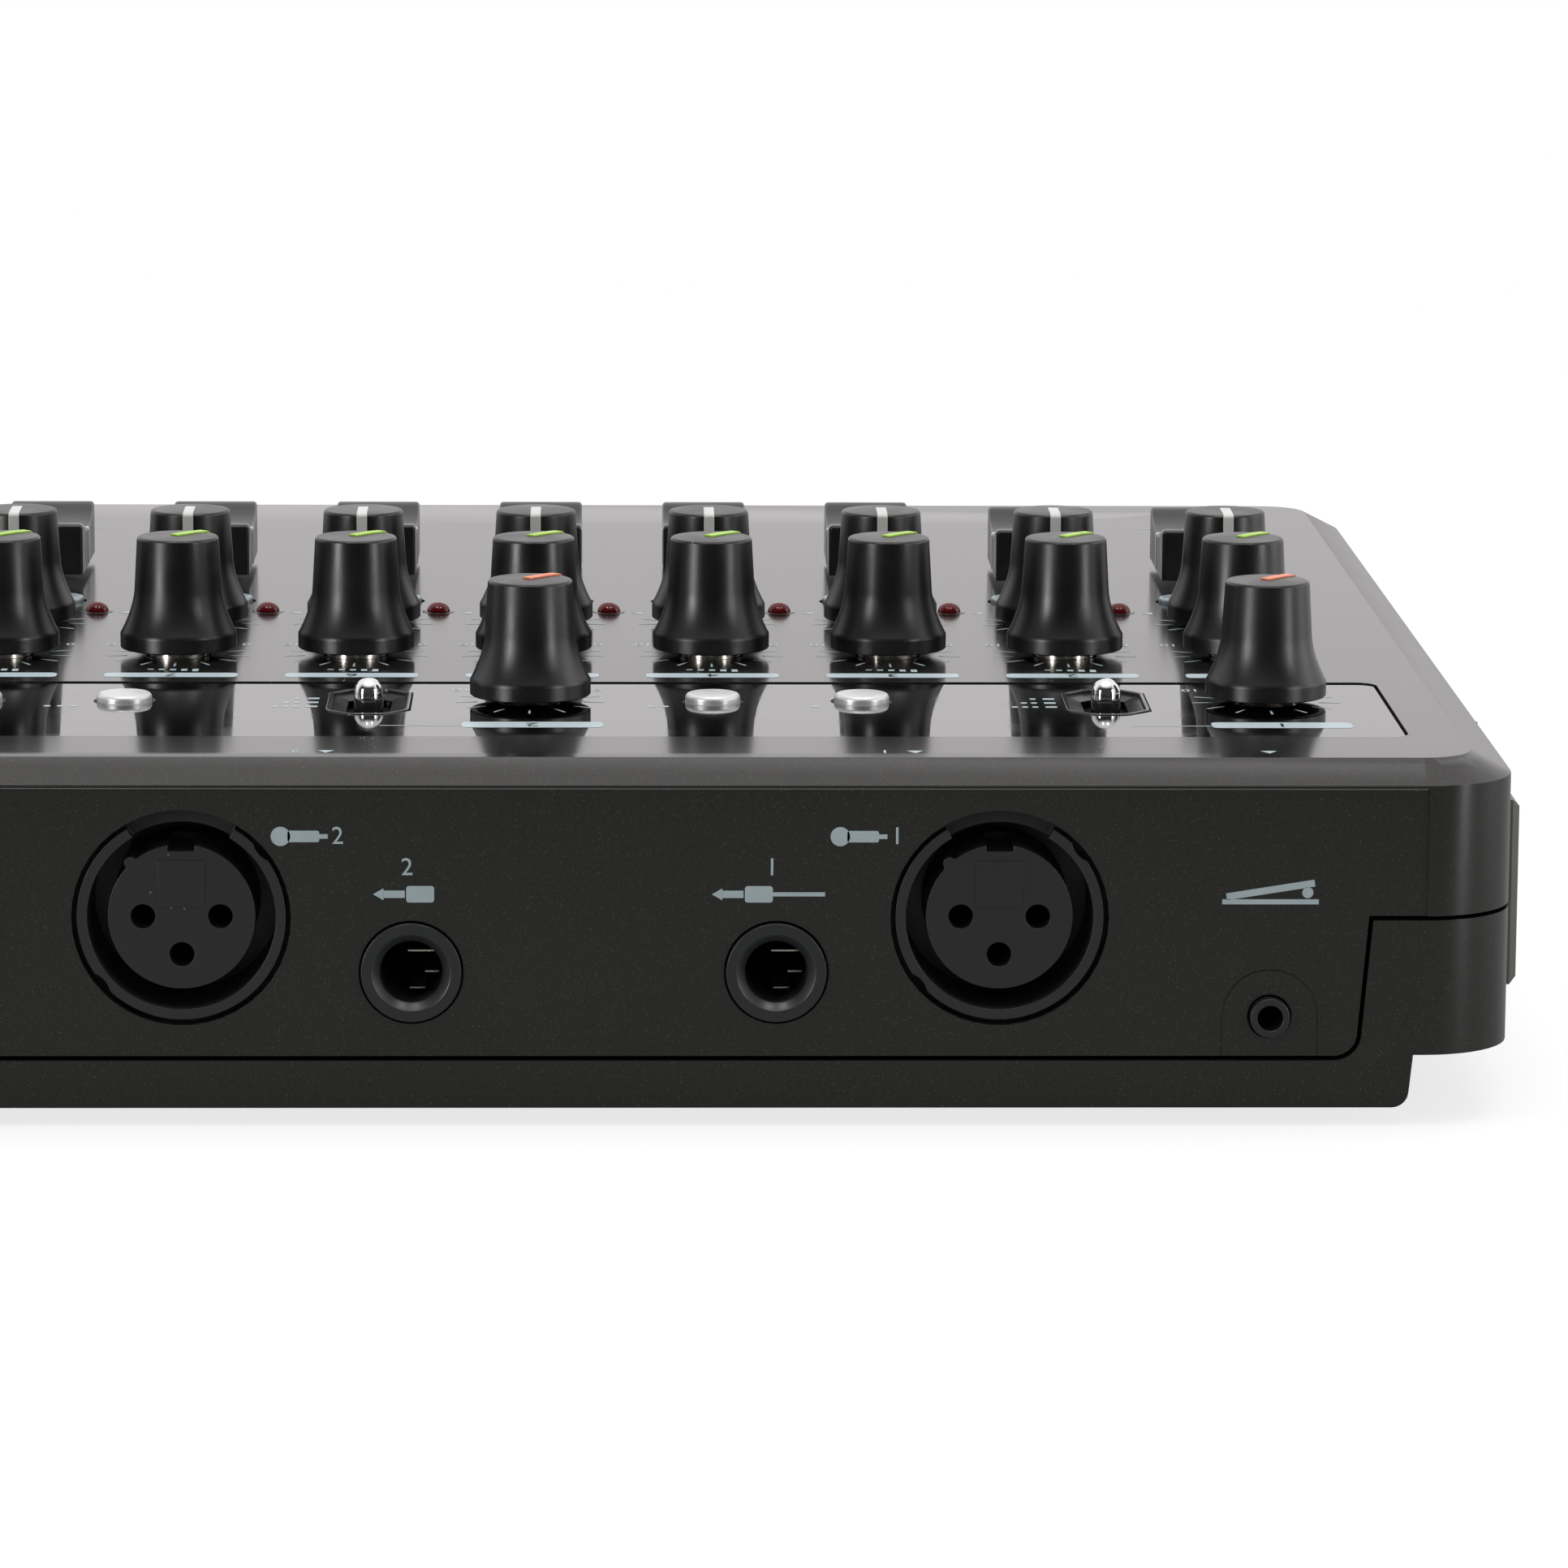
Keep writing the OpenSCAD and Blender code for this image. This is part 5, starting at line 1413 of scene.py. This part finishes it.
class RECORDER_OT_panel_prints(bpy.types.Operator):
    """Print the input bars, trim scales, lever marks and button dots, and the signs on the rear border"""

    bl_idname = "recorder.panel_prints"
    bl_label = "Panel prints"

    def execute(self, context):
        lift = context.scene.recorder_case.print_lift
        bar_y, bar_shift = BACK - 25.8 * MM, 0.4 * MM
        bar_w, bar_d, numeral = 15.6 * MM, 3.6 * MM, 3.2 * MM
        rule_t, rule_shift, rule_up, rule_short = 0.22 * MM, 2.8 * MM, 0.6 * MM, 9 * MM
        mark_out, mark_w, mark_h = 6.3 * MM, 1.3 * MM, 0.85 * MM
        mark_first, mark_pitch, mark_dots_out = -1.6, 2.7, 8.1 * MM
        button_dots_out, button_dots_up = 5.4 * MM, 3.6 * MM
        border_y, border_text, border_arrow = BACK - 8.0 * MM, 2.4 * MM, 1.0 * MM
        border_numerals = (("1", -76.9), ("2", -13.3))
        border_arrows = (-80.2, -16.6, -118.5)
        ring = scale_ring()
        marks = blank("marks")
        for k, side in enumerate("ab"):
            x, y = joint_place("trim_knob_" + side)
            lever_x = LEVERS["input_lever_" + side].x
            flat_bar(x - bar_shift, bar_y, bar_w, bar_d, 0.0, BAR_CORNER)
            rule_x = (x + lever_x) / 2 + rule_shift
            flat_bar(rule_x, bar_y + rule_up, lever_x - x - rule_short, rule_t)
            for step in range(3):
                mark_y = y + (mark_pitch * step + mark_first) * MM
                flat_bar(lever_x + mark_out, mark_y, mark_w, mark_h)
                dot_row(lever_x + mark_dots_out, mark_y, step + 1, pitch=1.15, radius=0.38)
            for button in (2 * k + 1, 2 * k + 2):
                dots_x = middle(f"round_button_{button}").x + button_dots_out
                dot_row(dots_x, y + button_dots_up, button, pitch=1.5, radius=0.42)
        end_edit()
        pieces, dark = [marks], []
        for k, side in enumerate("ab"):
            x, y = joint_place("trim_knob_" + side)
            pieces.append(settle(copied(ring, "ring"), (x, y, 0)))
            pieces += scale_ends(x, y)
            dark.append(flat_text(str(k + 1), numeral, x - bar_shift, bar_y))
        discard(ring)
        inked("panel_prints", pieces, "case", (0, 0, PANEL))
        inked("input_numerals", dark, "case", (0, 0, PANEL + lift), material="ink_dark")
        border = [flat_text(text, border_text, x * MM, border_y) for text, x in border_numerals]
        arrows = blank("arrows")
        for x in border_arrows:
            flat_disc(x * MM, border_y, border_arrow, 3)
        end_edit()
        inked("border_prints", [arrows, *border], "case", (0, 0, TOP))
        return {"FINISHED"}


class RECORDER_OT_back_seam(bpy.types.Operator):
    """Lay a near-black strip under the rear lip as painted shade in its gap, and a pale bead below it as a painted
    highlight on the recess edge
    """

    bl_idname = "recorder.back_seam"
    bl_label = "Back seam"

    def execute(self, context):
        wide, deep = CASE_W - 20.0 * MM, 0.3 * MM
        joint_h, bead_h = 0.2 * MM, 0.13 * MM
        lip = TOP - 2.6 * MM
        # A near-black strip: painted shade in the gap under the lip
        seam = block("back_joint", (wide, deep, joint_h), (0, BACK - 0.13 * MM, lip + joint_h / 2))
        round_edges(seam, 0.04 * MM)
        delivered(seam, "case", "joint_black")
        # A pale strip: painted highlight where the recess edge catches light
        bead = block("back_bead", (wide, deep, bead_h), (0, BACK_FACE, lip - 0.08 * MM))
        round_edges(bead, 0.06 * MM, 3)
        delivered(bead, "case", "bead_grey")
        return {"FINISHED"}


def mic_sign(u, v):
    """A microphone: round head, grip and a stub of cable. Places u are in millimetres."""
    head_at, grip_at, stub_at = u - 3.0, u - 0.55, u + 1.6
    flat_disc(head_at * MM, v, 1.05 * MM)
    flat_bar(grip_at * MM, v, 3.4 * MM, 1.25 * MM, 0.0, 0.25 * MM)
    flat_bar(stub_at * MM, v, 0.9 * MM, 0.5 * MM)


def plug_sign(u, v, cable):
    """A plug: pointed tip, shaft and grip, and its cable if that has a length."""
    tip_at = u - cable / 2 - 2.9
    shaft_at, grip_at, cable_at = tip_at + 1.5, tip_at + 4.3, tip_at + 5.8 + cable / 2
    flat_disc(tip_at * MM, v, 0.75 * MM, 3, POINT_LEFT)
    flat_bar(shaft_at * MM, v, 2.3 * MM, 0.8 * MM)
    flat_bar(grip_at * MM, v, 3.0 * MM, 1.8 * MM, 0.0, 0.3 * MM)
    if cable:
        flat_bar(cable_at * MM, v, cable * MM, 0.45 * MM)


def pedal_sign(u):
    """A foot switch from the side: base, raised treadle and the button under it."""
    base_v, treadle_v, button_v = 24.6 * MM, 25.9 * MM, 25.6 * MM
    flat_bar(u * MM, base_v, 10.4 * MM, 0.55 * MM)
    flat_bar(u * MM, treadle_v, 9.6 * MM, 0.75 * MM, math.radians(9))
    flat_disc((u + 4.0) * MM, button_v, 0.6 * MM)


class RECORDER_OT_back_prints(bpy.types.Operator):
    """Print the socket signs on the back wall"""

    bl_idname = "recorder.back_prints"
    bl_label = "Back prints"

    def execute(self, context):
        mic_v, line_v, line_numeral_v = 31.7 * MM, 25.4 * MM, 28.3 * MM
        numeral = 2.7 * MM
        # Places along the wall in millimetres, those of the plugs with the length of their cables
        mics, plugs, pedal = (74.9, 15.0), ((64.6, 5.6), (25.5, 0.0)), 118.2
        signs = blank("signs")
        for u in mics:
            mic_sign(u, mic_v)
        for u, cable in plugs:
            plug_sign(u, line_v, cable)
        pedal_sign(pedal)
        end_edit()
        places = (("1", 78.0, mic_v), ("2", 18.1, mic_v))
        places += (("1", 64.6, line_numeral_v), ("2", 25.5, line_numeral_v))
        numerals = [flat_text(text, numeral, u * MM, v) for text, u, v in places]
        inked("back_prints", [signs, *numerals], "case", (0, BACK_FACE, 0), (math.pi / 2, 0, math.pi))
        return {"FINISHED"}


class RECORDER_PT_build(bpy.types.Panel):
    """Lists the pieces of the recorder"""

    bl_idname = "RECORDER_PT_build"
    bl_label = "Multitrack Recorder"
    bl_space_type = "VIEW_3D"
    bl_region_type = "UI"
    bl_category = "Recorder"

    def draw(self, context):
        for settings in SETTINGS:
            group = getattr(context.scene, settings)
            box = self.layout.box()
            for name in group.bl_rna.properties.keys():
                if name not in ("rna_type", "name"):
                    box.prop(group, name)
        for operator in STEPS:
            self.layout.operator(operator.bl_idname)


STEPS = (
    RECORDER_OT_stage, RECORDER_OT_case, RECORDER_OT_panel, RECORDER_OT_knobs, RECORDER_OT_faders,
    RECORDER_OT_levers, RECORDER_OT_buttons, RECORDER_OT_sockets, RECORDER_OT_socket_plates,
    RECORDER_OT_lamps, RECORDER_OT_wheel, RECORDER_OT_display, RECORDER_OT_transport_signs,
    RECORDER_OT_fittings, RECORDER_OT_top_prints, RECORDER_OT_panel_prints, RECORDER_OT_back_seam,
    RECORDER_OT_back_prints,
)
SETTINGS = {"recorder_case": RecorderCase, "recorder_knobs": RecorderKnobs, "recorder_stage": RecorderStage}


def register():
    for kind in (*SETTINGS.values(), *STEPS, RECORDER_PT_build):
        bpy.utils.register_class(kind)
    for name, group in SETTINGS.items():
        setattr(bpy.types.Scene, name, PointerProperty(type=group))


def unregister():
    for name in SETTINGS:
        delattr(bpy.types.Scene, name)
    for kind in (RECORDER_PT_build, *reversed(STEPS), *SETTINGS.values()):
        bpy.utils.unregister_class(kind)


def main():
    register()
    for step in STEPS:
        family, action = step.bl_idname.split(".")
        getattr(getattr(bpy.ops, family), action)()


if __name__ == "__main__":
    main()
